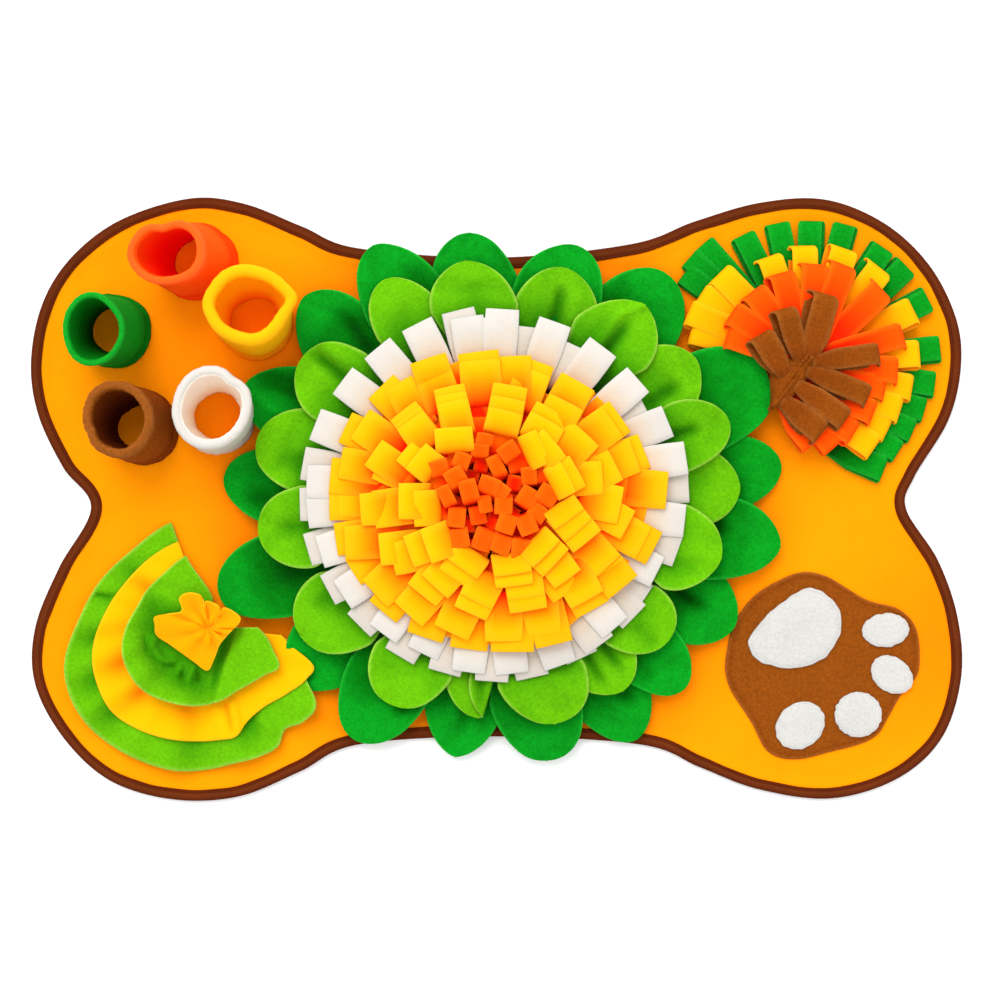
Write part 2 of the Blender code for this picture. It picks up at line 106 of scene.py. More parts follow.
def ripple(x, y, size, seed):
    """Soft unevenness from about -1 to 1: five sine waves of about this size, in seeded directions."""
    dice = np.random.default_rng(seed)
    total = 0.0
    for turn, stretch, phase in dice.uniform((0, 0.7, 0), (6.28, 1.6, 6.28), (5, 3)):
        total = total + np.sin((x * math.cos(turn) + y * math.sin(turn)) * 6.28 / size / stretch + phase)
    return total / 2.5


def crease(x, y, line):
    """A ridge, or with a negative height a valley, along a line: ends, height, half width."""
    x0, y0, x1, y1, height, half = line
    run = np.hypot(x1 - x0, y1 - y0)
    along = ((x - x0) * (x1 - x0) + (y - y0) * (y1 - y0)) / run
    away = ((x - x0) * (y1 - y0) - (y - y0) * (x1 - x0)) / run
    ends = ease(along / run * 3) * ease((run - along) / run * 3)
    return height * hump(away, half) * ends


def flow(places, values, at):
    """A smooth curve through values given at rising places: cubic pieces with matching slopes."""
    places = np.asarray(places, float)
    values = np.asarray(values, float)
    slopes = np.gradient(values, places)
    k = np.clip(np.searchsorted(places, at, side="right") - 1, 0, len(places) - 2)
    step = places[k + 1] - places[k]
    t = (at - places[k]) / step
    first = values[k] * (1 + 2 * t) * (1 - t) ** 2 + slopes[k] * step * t * (1 - t) ** 2
    second = values[k + 1] * t * t * (3 - 2 * t) - slopes[k + 1] * step * t * t * (1 - t)
    return first + second


def seen(middle):
    """Draws points in to the camera's axis by their height, so that a raised point shows where it
    was measured on the mat's level."""
    axis = np.array(CAMERA[:2])
    plan = axis + (middle[..., :2] - axis) * (1 - middle[..., 2:] / CAMERA[2])
    return np.concatenate([plan, middle[..., 2:]], axis=-1)


def loop_through(points, count):
    """A closed smooth curve through the points, as count points at even steps along it."""
    points = np.asarray(points, float)
    t = np.arange(0, 1, 1 / 40)[:, None, None]
    a, b, c, d = (np.roll(points, shift, 0)[None] for shift in (1, 0, -1, -2))
    curve = 2 * b + (c - a) * t + (2 * a - 5 * b + 4 * c - d) * t**2 + (3 * b - a - 3 * c + d) * t**3
    curve = 0.5 * curve.transpose(1, 0, 2).reshape(-1, 2)
    curve = np.concatenate([curve, curve[:1]])
    length = np.concatenate([[0], np.cumsum(np.linalg.norm(np.diff(curve, axis=0), axis=1))])
    even = np.arange(count) / count * length[-1]
    return np.stack([np.interp(even, length, curve[:, axis]) for axis in (0, 1)], axis=-1)


def inwards(loop):
    """The unit direction to the inside at each point of an anticlockwise loop."""
    run = unit(np.roll(loop, -2, 0) - np.roll(loop, 2, 0))
    return np.stack([-run[:, 1], run[:, 0]], axis=-1)


# Meshes ----------------------------------------------------------------------------------------

RIM_SHARE = 0.40  # of the rim colour on the last row of a sheet, before its cut edge
SAME_POINT = 1e-6  # points closer than this are one


def make_mesh(name, points, faces, values):
    """A smooth mesh from arrays of points and quads, with one float attribute for each value."""
    mesh = bpy.data.meshes.new(name)
    mesh.vertices.add(len(points))
    mesh.vertices.foreach_set("co", np.asarray(points, np.float32).ravel())
    mesh.loops.add(faces.size)
    mesh.loops.foreach_set("vertex_index", faces.astype(np.int32).ravel())
    mesh.polygons.add(len(faces))
    mesh.polygons.foreach_set("loop_start", np.arange(0, faces.size, 4, dtype=np.int32))
    mesh.update(calc_edges=True)
    mesh.polygons.foreach_set("use_smooth", np.ones(len(faces), bool))
    for key, value in values.items():
        layer = mesh.attributes.new(key, "FLOAT", "POINT")
        layer.data.foreach_set("value", np.asarray(value, np.float32).ravel())
    mesh.update()
    return mesh


def weld(mesh):
    """Joins the points that lie on each other, at a pole."""
    work = bmesh.new()
    work.from_mesh(mesh)
    bmesh.ops.remove_doubles(work, verts=work.verts, dist=SAME_POINT)
    work.to_mesh(mesh)
    work.free()


def borders(rows, columns, wrap, pole):
    """Row and column numbers of each border loop of a grid, with the cloth on its left."""
    if wrap:
        loops = [(np.full(columns, rows - 1), np.arange(columns)[::-1])]
        if not pole:
            loops.append((np.zeros(columns, int), np.arange(columns)))
        return loops
    up, over = np.arange(rows - 1), np.arange(columns - 1)
    row = np.concatenate([0 * over, up, 0 * over + rows - 1, rows - 1 - up])
    column = np.concatenate([over, 0 * up + columns - 1, columns - 1 - over, 0 * up])
    return [(row, column)]


def cloth_mesh(name, middle, thick=CLOTH, wrap=False, pole=False, depth=0.0, tone=0.0):
    """A closed mesh of rounded cloth round middle surfaces, numbered [piece, row, column, xyz].

    Each surface is moved half the thickness along its normal, both ways. The two are joined all
    round by a row halfway between them that stands out by half the thickness. wrap closes the
    columns, and pole means that the first row is one point. Depth and tone go to the finish."""
    middle = middle[None] if middle.ndim == 3 else middle
    pieces, rows, columns = middle.shape[:3]
    along = np.gradient(middle, axis=1)
    across = np.gradient(middle, axis=2)
    if wrap:
        across = (np.roll(middle, -1, 2) - np.roll(middle, 1, 2)) / 2
    normal = np.cross(along, across)
    if pole:
        normal[:, 0] = normal[:, 1].mean(1, keepdims=True)
    shift = unit(normal) * thick / 2
    count = rows * columns
    number = np.arange(count).reshape(rows, columns)
    grid = np.concatenate([number, number[:, :1]], axis=1) if wrap else number
    upper = np.stack([grid[:-1, :-1], grid[1:, :-1], grid[1:, 1:], grid[:-1, 1:]], -1).reshape(-1, 4)
    faces = [upper, upper[:, ::-1] + count]
    points = [(middle + shift).reshape(pieces, -1, 3), (middle - shift).reshape(pieces, -1, 3)]
    depth = np.broadcast_to(depth, (pieces, rows, columns))
    tone = np.asarray(tone, float).reshape(-1, 1, 1) if np.ndim(tone) == 1 else tone
    tone = np.broadcast_to(tone, (pieces, rows, columns))
    edge = np.zeros((rows, columns))
    for row, column in borders(rows, columns, wrap, pole):
        edge[row, column] = RIM_SHARE
    edge = np.broadcast_to(edge, (pieces, rows, columns))
    values = {"depth": [depth], "tone": [tone], "edge": [edge]}
    for key, value in values.items():
        values[key] = [value[0].reshape(pieces, -1)] * 2
    start = 2 * count
    for row, column in borders(rows, columns, wrap, pole):
        inner = np.clip(row, 1, rows - 2), column if wrap else np.clip(column, 1, columns - 2)
        out = unit(middle[:, row, column] - middle[:, inner[0], inner[1]])
        points.append(middle[:, row, column] + out * thick / 2)
        near = number[row, column]
        ring = start + np.arange(len(row))
        after, beyond = np.roll(near, -1), np.roll(ring, -1)
        faces.append(np.stack([near, after, beyond, ring], -1))
        faces.append(np.stack([ring, beyond, after + count, near + count], -1))
        values["depth"].append(depth[:, row, column])
        values["tone"].append(tone[:, row, column])
        values["edge"].append(np.ones((pieces, len(row))))
        start += len(row)
    offset = np.arange(pieces)[:, None, None] * start
    faces = (np.concatenate(faces)[None] + offset).reshape(-1, 4)
    values = {key: np.concatenate(value, axis=1) for key, value in values.items()}
    mesh = make_mesh(name, np.concatenate(points, axis=1).reshape(-1, 3), faces, values)
    if pole:
        weld(mesh)
    return mesh


def closed_mesh(name, surface, values):
    """A closed mesh from a surface [row, column, xyz] that wraps both ways."""
    rows, columns = surface.shape[:2]
    number = np.arange(rows * columns).reshape(rows, columns)
    right, up = np.roll(number, -1, 1), np.roll(number, -1, 0)
    faces = np.stack([number, up, np.roll(up, -1, 1), right], -1).reshape(-1, 4)
    points = surface.reshape(-1, 3)
    a, b, c, d = (points[faces[:, i]] for i in range(4))
    volume = (a * np.cross(b, c)).sum() + (a * np.cross(c, d)).sum()
    return make_mesh(name, points, faces if volume > 0 else faces[:, ::-1], values)


def area_of(middle, wrap=False):
    """The area of middle surfaces, in square metres."""
    middle = middle[None] if middle.ndim == 3 else middle
    if wrap:
        middle = np.concatenate([middle, middle[:, :, :1]], axis=2)
    one = middle[:, 1:, 1:] - middle[:, :-1, :-1]
    two = middle[:, :-1, 1:] - middle[:, 1:, :-1]
    return float(np.linalg.norm(np.cross(one, two), axis=-1).sum() / 2)


def piece(name, mesh, finish, nodes):
    """A shown cloth piece that stands for its nodes."""
    made = bpy.data.objects.new(name, mesh)
    bpy.context.scene.collection.objects.link(made)
    mesh.materials.append(finish)
    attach(made, "root")
    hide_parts(*nodes)
    return made


# Finishes --------------------------------------------------------------------------------------


FULL_LIGHT = 1.65  # what the lamps give a flat place, where 1 is white
BRIGHTEST = 0.95
FINE_NOISE, BROAD_NOISE, NAP_NOISE = 620, 42, 900  # scales, for each metre
TONE_SHARE = 0.15  # how much lighter a tone of 1 makes the cloth
NAP_HEIGHT = 0.0008
SHEEN = 0.05


def own(colour):
    """The cloth's own colour, linear, from how it looks on a flat place in full light, 0 to 255. Full
    light is brighter than white, so parts at 255 are kept just below 1."""
    parts = np.asarray(colour, float) / 255
    parts = np.where(parts > 0.04045, ((parts + 0.055) / 1.055) ** 2.4, parts / 12.92)
    return (*np.where(parts > 0.999, BRIGHTEST, parts / FULL_LIGHT), 1.0)


def fleece(name, stops, rim, grain=0.10, mottle=0.06, nap=0.35, size=1.0):
    """Napped cloth. Its colour runs through the stops with the depth attribute, which mostly carries
    painted shade: the later stops are the cloth's colour in shade. It turns to the rim colour on a cut
    edge, and where the edge attribute carries a painted highlight. Two noises, a fine and a broad one,
    and the tone make it uneven; the tone also carries painted light and shade in places."""
    cloth = bpy.data.materials.new(name)
    cloth.use_nodes = True
    tree = cloth.node_tree
    shader = tree.nodes["Principled BSDF"]

    def add(kind, **settings):
        made = tree.nodes.new("ShaderNode" + kind)
        for key, value in settings.items():
            setattr(made, key, value)
        return made

    def noise(scale, detail):
        made = add("TexNoise")
        made.inputs["Scale"].default_value = scale
        made.inputs["Detail"].default_value = detail
        tree.links.new(place.outputs["Object"], made.inputs["Vector"])
        return made.outputs["Fac"]

    def scaled(value, factor, base):
        made = add("Math", operation="MULTIPLY_ADD")
        tree.links.new(value, made.inputs[0])
        made.inputs[1].default_value = factor
        if isinstance(base, float):
            made.inputs[2].default_value = base
        else:
            tree.links.new(base, made.inputs[2])
        return made.outputs[0]

    place = add("TexCoord")
    ramp = add("ValToRGB")
    steps = ramp.color_ramp.elements
    while len(steps) < len(stops):
        steps.new(0.5)
    for step, (at, colour) in zip(steps, stops):
        step.position = at
        step.color = own(colour)
    depth = add("Attribute", attribute_name="depth")
    tree.links.new(depth.outputs["Fac"], ramp.inputs["Fac"])
    edge = add("Attribute", attribute_name="edge")
    mixed = add("Mix", data_type="RGBA")
    tree.links.new(edge.outputs["Fac"], mixed.inputs[0])
    tree.links.new(ramp.outputs["Color"], mixed.inputs[6])
    mixed.inputs[7].default_value = own(rim)
    fine = noise(FINE_NOISE / size, 3.0)
    broad = noise(BROAD_NOISE, 2.0)
    tone = add("Attribute", attribute_name="tone")
    light = scaled(fine, 4 * grain, 1.0 - 2 * grain - 1.5 * mottle)
    light = scaled(broad, 3 * mottle, light)
    light = scaled(tone.outputs["Fac"], TONE_SHARE, light)
    shade = add("VectorMath", operation="SCALE")
    tree.links.new(mixed.outputs[2], shade.inputs[0])
    tree.links.new(light, shade.inputs["Scale"])
    tree.links.new(shade.outputs[0], shader.inputs["Base Color"])
    bump = add("Bump")
    bump.inputs["Strength"].default_value = nap
    bump.inputs["Distance"].default_value = NAP_HEIGHT
    tree.links.new(noise(NAP_NOISE / size, 2.0), bump.inputs["Height"])
    tree.links.new(bump.outputs["Normal"], shader.inputs["Normal"])
    shader.inputs["Roughness"].default_value = 0.95
    shader.inputs["Specular IOR Level"].default_value = 0.06
    shader.inputs["Sheen Weight"].default_value = SHEEN
    shader.inputs["Sheen Roughness"].default_value = 0.5
    shader.inputs["Sheen Tint"].default_value = own(rim)
    return cloth


# The later stops of each finish are painted shade: the colour the cloth takes in shade. It is darker there, and
# redder for the yellows and oranges where light bounces between the parts.
GROUND = fleece("orange_ground_fleece", ((0, (255, 186, 0)), (0.5, (255, 160, 0)), (1, (255, 112, 0))),
                (255, 190, 20), 0.035, 0.03, 0.25)  # fmt: skip
TAPE = fleece("dark_brown_edge_tape", ((0, (100, 34, 5)), (0.5, (80, 26, 3)), (1, (40, 8, 0))),
              (128, 60, 24), 0.10, 0.05, 0.3)  # fmt: skip
DARK_GREEN = fleece("dark_green_fleece", ((0, (8, 174, 34)), (0.5, (2, 134, 14)), (1, (0, 60, 2))),
                    (40, 200, 60), 0.20, 0.08, 0.6, 1.8)  # fmt: skip
LIGHT_GREEN = fleece("light_green_fleece", ((0, (118, 210, 8)), (0.5, (70, 168, 3)), (1, (8, 100, 0))),
                     (190, 240, 90), 0.17, 0.07, 0.55, 1.8)  # fmt: skip
WHITE = fleece("white_fleece", ((0, (251, 243, 232)), (0.5, (252, 230, 204)), (1, (252, 205, 160))),
               (253, 250, 245), 0.03, 0.02, 0.25)  # fmt: skip
PAD = fleece("white_pad_fleece", ((0, (238, 236, 231)), (1, (190, 180, 172))),
             (246, 245, 242), 0.09, 0.05, 0.4, 1.8)  # fmt: skip
YELLOW = fleece("yellow_fleece", ((0, (255, 216, 0)), (0.5, (255, 156, 0)), (1, (255, 44, 0))),
                (255, 224, 30), 0.035, 0.03, 0.2)  # fmt: skip
ORANGE = fleece("orange_strip_fleece", ((0, (255, 106, 0)), (0.5, (255, 46, 0)), (1, (236, 0, 0))),
                (255, 140, 20), 0.04, 0.03, 0.2)  # fmt: skip
RED_ORANGE = fleece("red_orange_fleece", ((0, (255, 108, 16)), (0.5, (255, 70, 0)), (1, (255, 8, 0))),
                    (255, 132, 60), 0.05, 0.04, 0.35)  # fmt: skip
BROWN = fleece("brown_fleece", ((0, (165, 84, 15)), (0.5, (140, 60, 6)), (1, (92, 24, 3))),
               (190, 116, 52), 0.22, 0.07, 0.7, 1.8)  # fmt: skip


# The mat and its binding -----------------------------------------------------------------------

# Soft creases in the open parts of the mat: two ends, height, half width.
MAT_CREASES = (
    (-0.180, -0.222, -0.140, -0.250, 0.0022, 0.006),
    (-0.196, -0.205, -0.158, -0.238, 0.0016, 0.007),
    (-0.372, -0.246, -0.330, -0.268, 0.0015, 0.008),
    (0.398, -0.100, 0.424, -0.150, 0.0014, 0.008),
    (-0.425, -0.060, -0.400, -0.110, 0.0014, 0.007),
    (-0.423, 0.160, -0.405, 0.215, 0.0016, 0.008),
    (-0.395, 0.232, -0.345, 0.262, 0.0014, 0.009),
    (0.408, 0.020, 0.405, 0.075, 0.0010, 0.008),
)

# Painted shade: places where the ground is painted a deeper orange, as it is in shade: place,
# share, half width.
MAT_PAINTED_SHADE = ((-0.30, 0.14, 0.22, 0.07), (0.44, -0.14, 0.34, 0.09))


MAT_UNEVEN = 0.00012  # half height of the ground's soft ripples


def build_mat():
    """Rows are copies of the edge drawn together to the middle, then the edge moved in by set
    distances. The height is even, with soft ripples and creases, and rises into the binding."""
    edge = loop_through(MAT_EDGE, MAT_POINTS)
    inside = inwards(edge)
    inner = edge + inside * (BINDING_WIDTH + EDGE_BEND)
    rows = [inner * share for share in np.concatenate([[0.0], np.linspace(0.06, 1.0, MAT_ROWS)])]
    steps = (0.0195, 0.017, 0.0145, 0.012, 0.0103, 0.007, 0.0038)
    rows += [edge + inside * step for step in steps]
    plan = np.stack(rows)
    x, y = plan[..., 0], plan[..., 1]
    bend = np.zeros(len(rows))
    bend[-len(steps) :] = [ease((0.022 - step) / 0.0117) for step in steps]
    height = MAT_THICK / 2 + (BINDING_CLOTH + GAP) * bend[:, None]
    open_part = (1 - bend)[:, None]
    height = height + open_part * MAT_UNEVEN * (1 + ripple(x, y, 0.11, 3))
    for line in MAT_CREASES:
        height = height + open_part * crease(x, y, line)
    flower = np.hypot(x - FLOWER[0], y - FLOWER[1])
    depth = 0.08 + 0.05 * ripple(x, y, 0.30, 5)
    # Painted shade: the ground deepens to orange round the flower, at the places above, at the foot of each cup and
    # on the mat inside it.
    depth = depth + 0.42 * (1 - ease((flower - 0.24) / 0.08))
    for at_x, at_y, most, half in MAT_PAINTED_SHADE:
        depth = depth + most * hump(np.hypot(x - at_x, y - at_y), half)
    for cup in CUPS:
        from_cup = np.hypot(x - cup[1][0], y - cup[1][1])
        depth = depth + 0.12 * (1 - ease((from_cup - 0.018) / 0.014))
    middle = np.concatenate([plan, height[..., None]], axis=-1)
    mesh = cloth_mesh("mat_cloth", middle, MAT_THICK - 0.0001, True, True, np.clip(depth, 0, 1))
    piece("mat_cloth", mesh, GROUND, ["mat"])  # fmt: skip


TAPE_LENGTH = 2.75

# The binding's section: distance in from the edge, height, edge share (a painted highlight: paler
# on the ridge).
TAPE_SECTION = (
    (0.0100, 0.0000, 0.0), (0.0060, 0.0000, 0.0), (0.0014, 0.0002, 0.0), (0.0003, 0.0014, 0.0),
    (0.0000, 0.0033, 0.0), (0.0004, 0.0051, 0.0), (0.0016, 0.0063, 0.2), (0.0034, 0.0067, 0.5),
    (0.0052, 0.0066, 0.8), (0.0066, 0.0063, 0.6), (0.0076, 0.0058, 0.0), (0.0086, 0.0060, 0.3),
    (0.0096, 0.0061, 0.1), (0.0101, 0.0056, 0.0), (0.0098, 0.0051, 0.0), (0.0050, 0.0050, 0.0),
    (0.0018, 0.0046, 0.0), (0.0015, 0.0033, 0.0), (0.0018, 0.0020, 0.0), (0.0050, 0.0016, 0.0),
    (0.0100, 0.0015, 0.0),
)  # fmt: skip


def build_binding():
    """The section of a folded tape carried round the edge, uneven by parts of a millimetre."""
    edge = loop_through(MAT_EDGE, BINDING_POINTS)
    inside = inwards(edge)
    section = np.array(TAPE_SECTION)
    place = np.arange(len(edge)) / len(edge) * TAPE_LENGTH
    wide = 1.07 + 0.035 * ripple(place, 0 * place, 0.11, 8) + 0.02 * ripple(place, 0 * place, 0.03, 9)
    inset = section[:, :1] * wide[None]
    plan = edge[None] + inside[None] * inset[..., None]
    top = section[:, 1:2] > 0.0052
    puckers = 0.00012 * ripple(place, 0 * place, 0.009, 10) + 0.0002 * ripple(place, 0 * place, 0.03, 11)
    height = section[:, 1:2] + np.where(top, puckers[None], 0.0)
    surface = np.concatenate([plan, height[..., None]], axis=-1)
    flat = np.ones_like(height)
    values = {"depth": 0.0 * flat, "tone": 0.4 * ripple(place, 0 * place, 0.04, 12)[None] * flat}
    # Painted highlight: the ridge of the tape turns to the paler rim colour.
    values["edge"] = section[:, 2:3] * flat
    mesh = closed_mesh("edge_tape", surface, values)
    piece("edge_tape", mesh, TAPE, ["binding"])  # fmt: skip


# The flower's petals ---------------------------------------------------------------------------

PETAL_ROOT = 0.118
PETAL_ARCH = 0.010  # how far a petal rises from its seam
PETAL_RISE = 0.045  # length over which it rises
ROOT_STEP = 0.0030  # between levels of petals at the seam
SPREAD_STEP = 0.0023  # and what it grows by where they spread
LIGHT_LIFT = 0.0042  # what the light petals rise by besides, to clear the dark ones
USUAL_WIDTH = 0.084
FOLD_ROLL = 0.0026  # radius of the roll where a petal is folded over

# Turn of each petal and its reach from the flower's middle.
DARK_PETALS = (
    (4.5, 0.276), (23.2, 0.284), (50.5, 0.268), (73.5, 0.251), (95.5, 0.254), (115.0, 0.267),
    (135.0, 0.266), (156.0, 0.263), (178.0, 0.263), (200.0, 0.283), (223.0, 0.266), (240.5, 0.271),
    (260.5, 0.255), (280.5, 0.260), (300.5, 0.271), (314.0, 0.259), (330.5, 0.262), (348.8, 0.277),
)  # fmt: skip
LIGHT_PETALS = (
    (2.0, 0.232), (17.5, 0.232), (34.0, 0.230), (53.5, 0.228), (71.5, 0.226), (96.0, 0.224),
    (116.5, 0.231), (145.0, 0.226), (167.5, 0.234), (189.0, 0.229), (217.0, 0.230), (244.0, 0.223),
    (266.5, 0.213), (284.0, 0.224), (302.0, 0.222), (318.0, 0.214), (344.0, 0.221),
)  # fmt: skip

# What is particular to a petal. Lengths are in metres along the petal from its seam and across it,
# to the left positive. width: at the widest place. tip: how far the tip narrows. sway: how far the
# tip bends to the left. creases: two ends, height, half width. fold: a point on the fold line and
# the turn of the side that is folded over. left, right: rise of the side's rim.
SPECIAL = {
    "dark_01": {"creases": ((0.060, -0.030, 0.130, -0.004, -0.006, 0.010),), "width": 0.078,
                "left": 0.005},
    "dark_02": {"width": 0.096, "sway": 0.004, "tip": 0.36},
    "dark_03": {"width": 0.092, "sway": 0.006, "creases": ((0.070, 0.030, 0.125, 0.030, -0.003, 0.007),)},
    "dark_04": {"width": 0.086, "sway": -0.006, "right": 0.005},
    "dark_05": {"width": 0.084, "sway": 0.004, "creases": ((0.090, -0.040, 0.125, -0.016, -0.004, 0.008),)},
    "dark_06": {"width": 0.080, "sway": 0.006, "creases": ((0.070, -0.012, 0.118, -0.026, -0.003, 0.010),)},
    "dark_07": {"creases": ((0.050, -0.010, 0.120, -0.020, -0.0055, 0.008),
                            (0.080, 0.012, 0.130, 0.004, 0.004, 0.008)),
                "width": 0.080, "right": 0.007},
    "dark_08": {"creases": ((0.060, -0.020, 0.150, -0.010, -0.0110, 0.011),
                            (0.050, 0.004, 0.140, 0.016, 0.0050, 0.006)),
                "left": 0.002, "width": 0.078},
    "dark_09": {"creases": ((0.070, 0.022, 0.130, 0.006, -0.0060, 0.009),), "width": 0.076, "left": 0.005},
    "dark_10": {"creases": ((0.070, 0.006, 0.140, 0.000, -0.0040, 0.014),), "width": 0.082, "right": 0.005},
    "dark_11": {"width": 0.084},
    "dark_12": {"creases": ((0.060, 0.022, 0.120, 0.020, -0.0050, 0.007),), "width": 0.084},
    "dark_13": {"creases": ((0.060, 0.006, 0.125, 0.004, -0.0050, 0.006),
                            (0.060, 0.018, 0.120, 0.014, 0.004, 0.007)),
                "width": 0.076, "tip": 0.66},
    "dark_14": {"width": 0.086, "left": 0.004},
    "dark_15": {"creases": ((0.080, 0.008, 0.130, 0.012, -0.0050, 0.008),), "width": 0.080},
    "dark_16": {"creases": ((0.070, -0.018, 0.120, -0.012, -0.0030, 0.008),), "width": 0.070},
    "dark_17": {"creases": ((0.050, 0.010, 0.120, 0.002, -0.0065, 0.006),
                            (0.060, 0.026, 0.120, 0.022, 0.005, 0.007)),
                "right": 0.003, "width": 0.084},
    "dark_18": {"creases": ((0.060, 0.018, 0.115, 0.006, -0.0055, 0.009),), "width": 0.082},
    "light_01": {"width": 0.078, "left": 0.001, "right": 0.001},
    "light_02": {"creases": ((0.040, 0.004, 0.092, 0.002, -0.0070, 0.006),), "right": 0.005, "width": 0.066},
    "light_03": {"creases": ((0.050, -0.020, 0.112, -0.026, 0.0045, 0.005),
                             (0.040, -0.008, 0.090, -0.012, -0.006, 0.007)),
                 "width": 0.078, "right": 0.004},
    "light_04": {"width": 0.080, "tip": 0.62, "sway": -0.006,
                 "creases": ((0.036, 0.008, 0.100, 0.007, 0.0055, 0.0035),
                             (0.036, -0.002, 0.098, -0.004, -0.0070, 0.006),
                             (0.084, 0.010, 0.118, -0.012, 0.0035, 0.0035))},
    "light_05": {"creases": ((0.040, -0.002, 0.096, 0.004, -0.0080, 0.006),
                             (0.050, -0.016, 0.090, -0.012, 0.003, 0.006)),
                 "left": 0.005, "width": 0.079},
    "light_06": {"creases": ((0.050, 0.002, 0.090, 0.000, -0.0030, 0.014),), "width": 0.082, "sway": 0.006},
    "light_07": {"width": 0.068, "sway": 0.004},
    "light_08": {"creases": ((0.040, -0.006, 0.110, -0.012, -0.0080, 0.006),
                             (0.060, -0.022, 0.110, -0.020, 0.005, 0.006)),
                 "width": 0.078, "right": 0.004},
    "light_09": {"creases": ((0.040, 0.006, 0.100, 0.012, -0.0050, 0.010),), "width": 0.079, "left": 0.004},
    "light_10": {"creases": ((0.030, 0.004, 0.100, 0.000, -0.0050, 0.008),), "width": 0.077},
    "light_11": {"width": 0.082, "left": 0.004, "creases": ((0.050, -0.020, 0.090, -0.016, -0.003, 0.008),)},
    "light_12": {"width": 0.077, "right": 0.006, "left": 0.001},
    "light_13": {"fold": (0.050, 0.006, 78.0), "width": 0.070,
                 "creases": ((0.030, -0.006, 0.095, -0.002, -0.006, 0.006),)},
    "light_14": {"width": 0.084},
    "light_15": {"creases": ((0.030, -0.008, 0.100, -0.010, -0.0072, 0.005),
                             (0.030, 0.012, 0.100, 0.012, -0.0058, 0.005)),
                 "width": 0.072},
    "light_16": {"creases": ((0.054, -0.004, 0.096, -0.008, -0.0035, 0.008),), "width": 0.072,
                 "right": 0.004},
    "light_17": {"creases": ((0.050, -0.020, 0.095, -0.010, -0.0025, 0.010),), "width": 0.080},
}


def folded(x, y, fold):
    """Folds the part beyond a line back over, round a small roll: the distance past the line runs
    round half a circle, then back. Returns the new place and the lift."""
    at_x, at_y, turn = fold
    roll = FOLD_ROLL
    out = bearing(turn)
    past = (x - at_x) * out[0] + (y - at_y) * out[1]
    round_it = np.clip(past / roll, 0, math.pi)
    new = np.where(past > 0, roll * np.sin(round_it) - np.maximum(past - math.pi * roll, 0), past)
    lift = np.where(past > 0, roll * (1 - np.cos(round_it)), 0.0)
    return x + (new - past) * out[0], y + (new - past) * out[1], lift


def petal_surface(turn, reach, level, seed, spec):
    """A leaf: its half width swells from the seam and closes like a rounded arch at the tip. The
    height rises from the seam; folds, creases, curled sides and ripples are added to it."""
    dice = np.random.default_rng(seed)
    width = spec.get("width", USUAL_WIDTH + dice.uniform(-0.003, 0.004))
    tip = spec.get("tip", dice.uniform(0.46, 0.60))
    sway = spec.get("sway", dice.uniform(-0.006, 0.006))
    middle_dip = dice.uniform(-0.0030, 0.0008)
    length = reach - PETAL_ROOT
    t = np.linspace(0, 1, PETAL_GRID[0])[:, None]
    side = np.linspace(-1, 1, PETAL_GRID[1])[None]
    arch = np.clip((t - 0.5) * 2, 0, 1) * 1.5
    along = np.where(t < 0.5, t * 1.1, 0.55 + 0.45 * np.sin(arch))
    half = np.where(t < 0.5, 0.46 + 0.54 * ease(t * 1.6) / ease(0.8), np.cos(arch) ** (2 * tip))
    half = np.minimum(half, 1.0)
    waves = dice.uniform(5, 9) * along + np.sign(side) * 1.3 + dice.uniform(0, 6.28)
    half = half * (1 + 0.035 * np.sin(waves) * ease(t * 2))
    x = along * length + 0 * side
    y = side * half * width / 2 + sway * (x / length) ** 2
    flat = np.stack([x, y, 0 * x], axis=-1)
    lift = 0.0
    if "fold" in spec:
        x, y, lift = folded(x, y, spec["fold"])
    rise = ease(x / PETAL_RISE)
    aside = y / (width / 2)
    outer = ease((x + PETAL_ROOT - 0.185) / 0.05)
    height = SEWN_ON + CLOTH / 2 + level * (ROOT_STEP + SPREAD_STEP * rise) + PETAL_ARCH * rise + lift
    if level > 1:
        height = height + LIGHT_LIFT * ease((x - 0.030) / 0.030)
    height = height + 0.0025 * aside**2 * rise - 0.003 * ease((x / length - 0.75) / 0.25) * rise
    free = 1 if level in (1, 2.8, 3.6) else -1
    left = spec.get("left", dice.uniform(0, 0.003) * free)
    right = spec.get("right", dice.uniform(0, 0.003) * free)
    height = height + outer * (left * np.clip(aside, 0, 2) ** 2 + right * np.clip(-aside, 0, 2) ** 2)
    height = height + middle_dip * hump(aside, 0.45) * ease(x / 0.03)
    creases = sum([crease(x, y, line) for line in spec.get("creases", ())], 0 * x)
    soft = 0.0012 * ripple(x, y, 0.040, seed + 1) + 0.0005 * ripple(x, y, 0.014, seed + 2) * outer
    height = height + creases + soft * rise
    shade = np.clip(-creases / 0.016, 0, 0.5) + 0.12 * np.clip(-soft / 0.001, 0, 1)
    ahead, left_of = bearing(turn), bearing(turn + 90)
    plan = FLOWER + (PETAL_ROOT + x)[..., None] * ahead + y[..., None] * left_of
    return np.concatenate([plan, height[..., None]], axis=-1), area_of(flat), width, length, shade


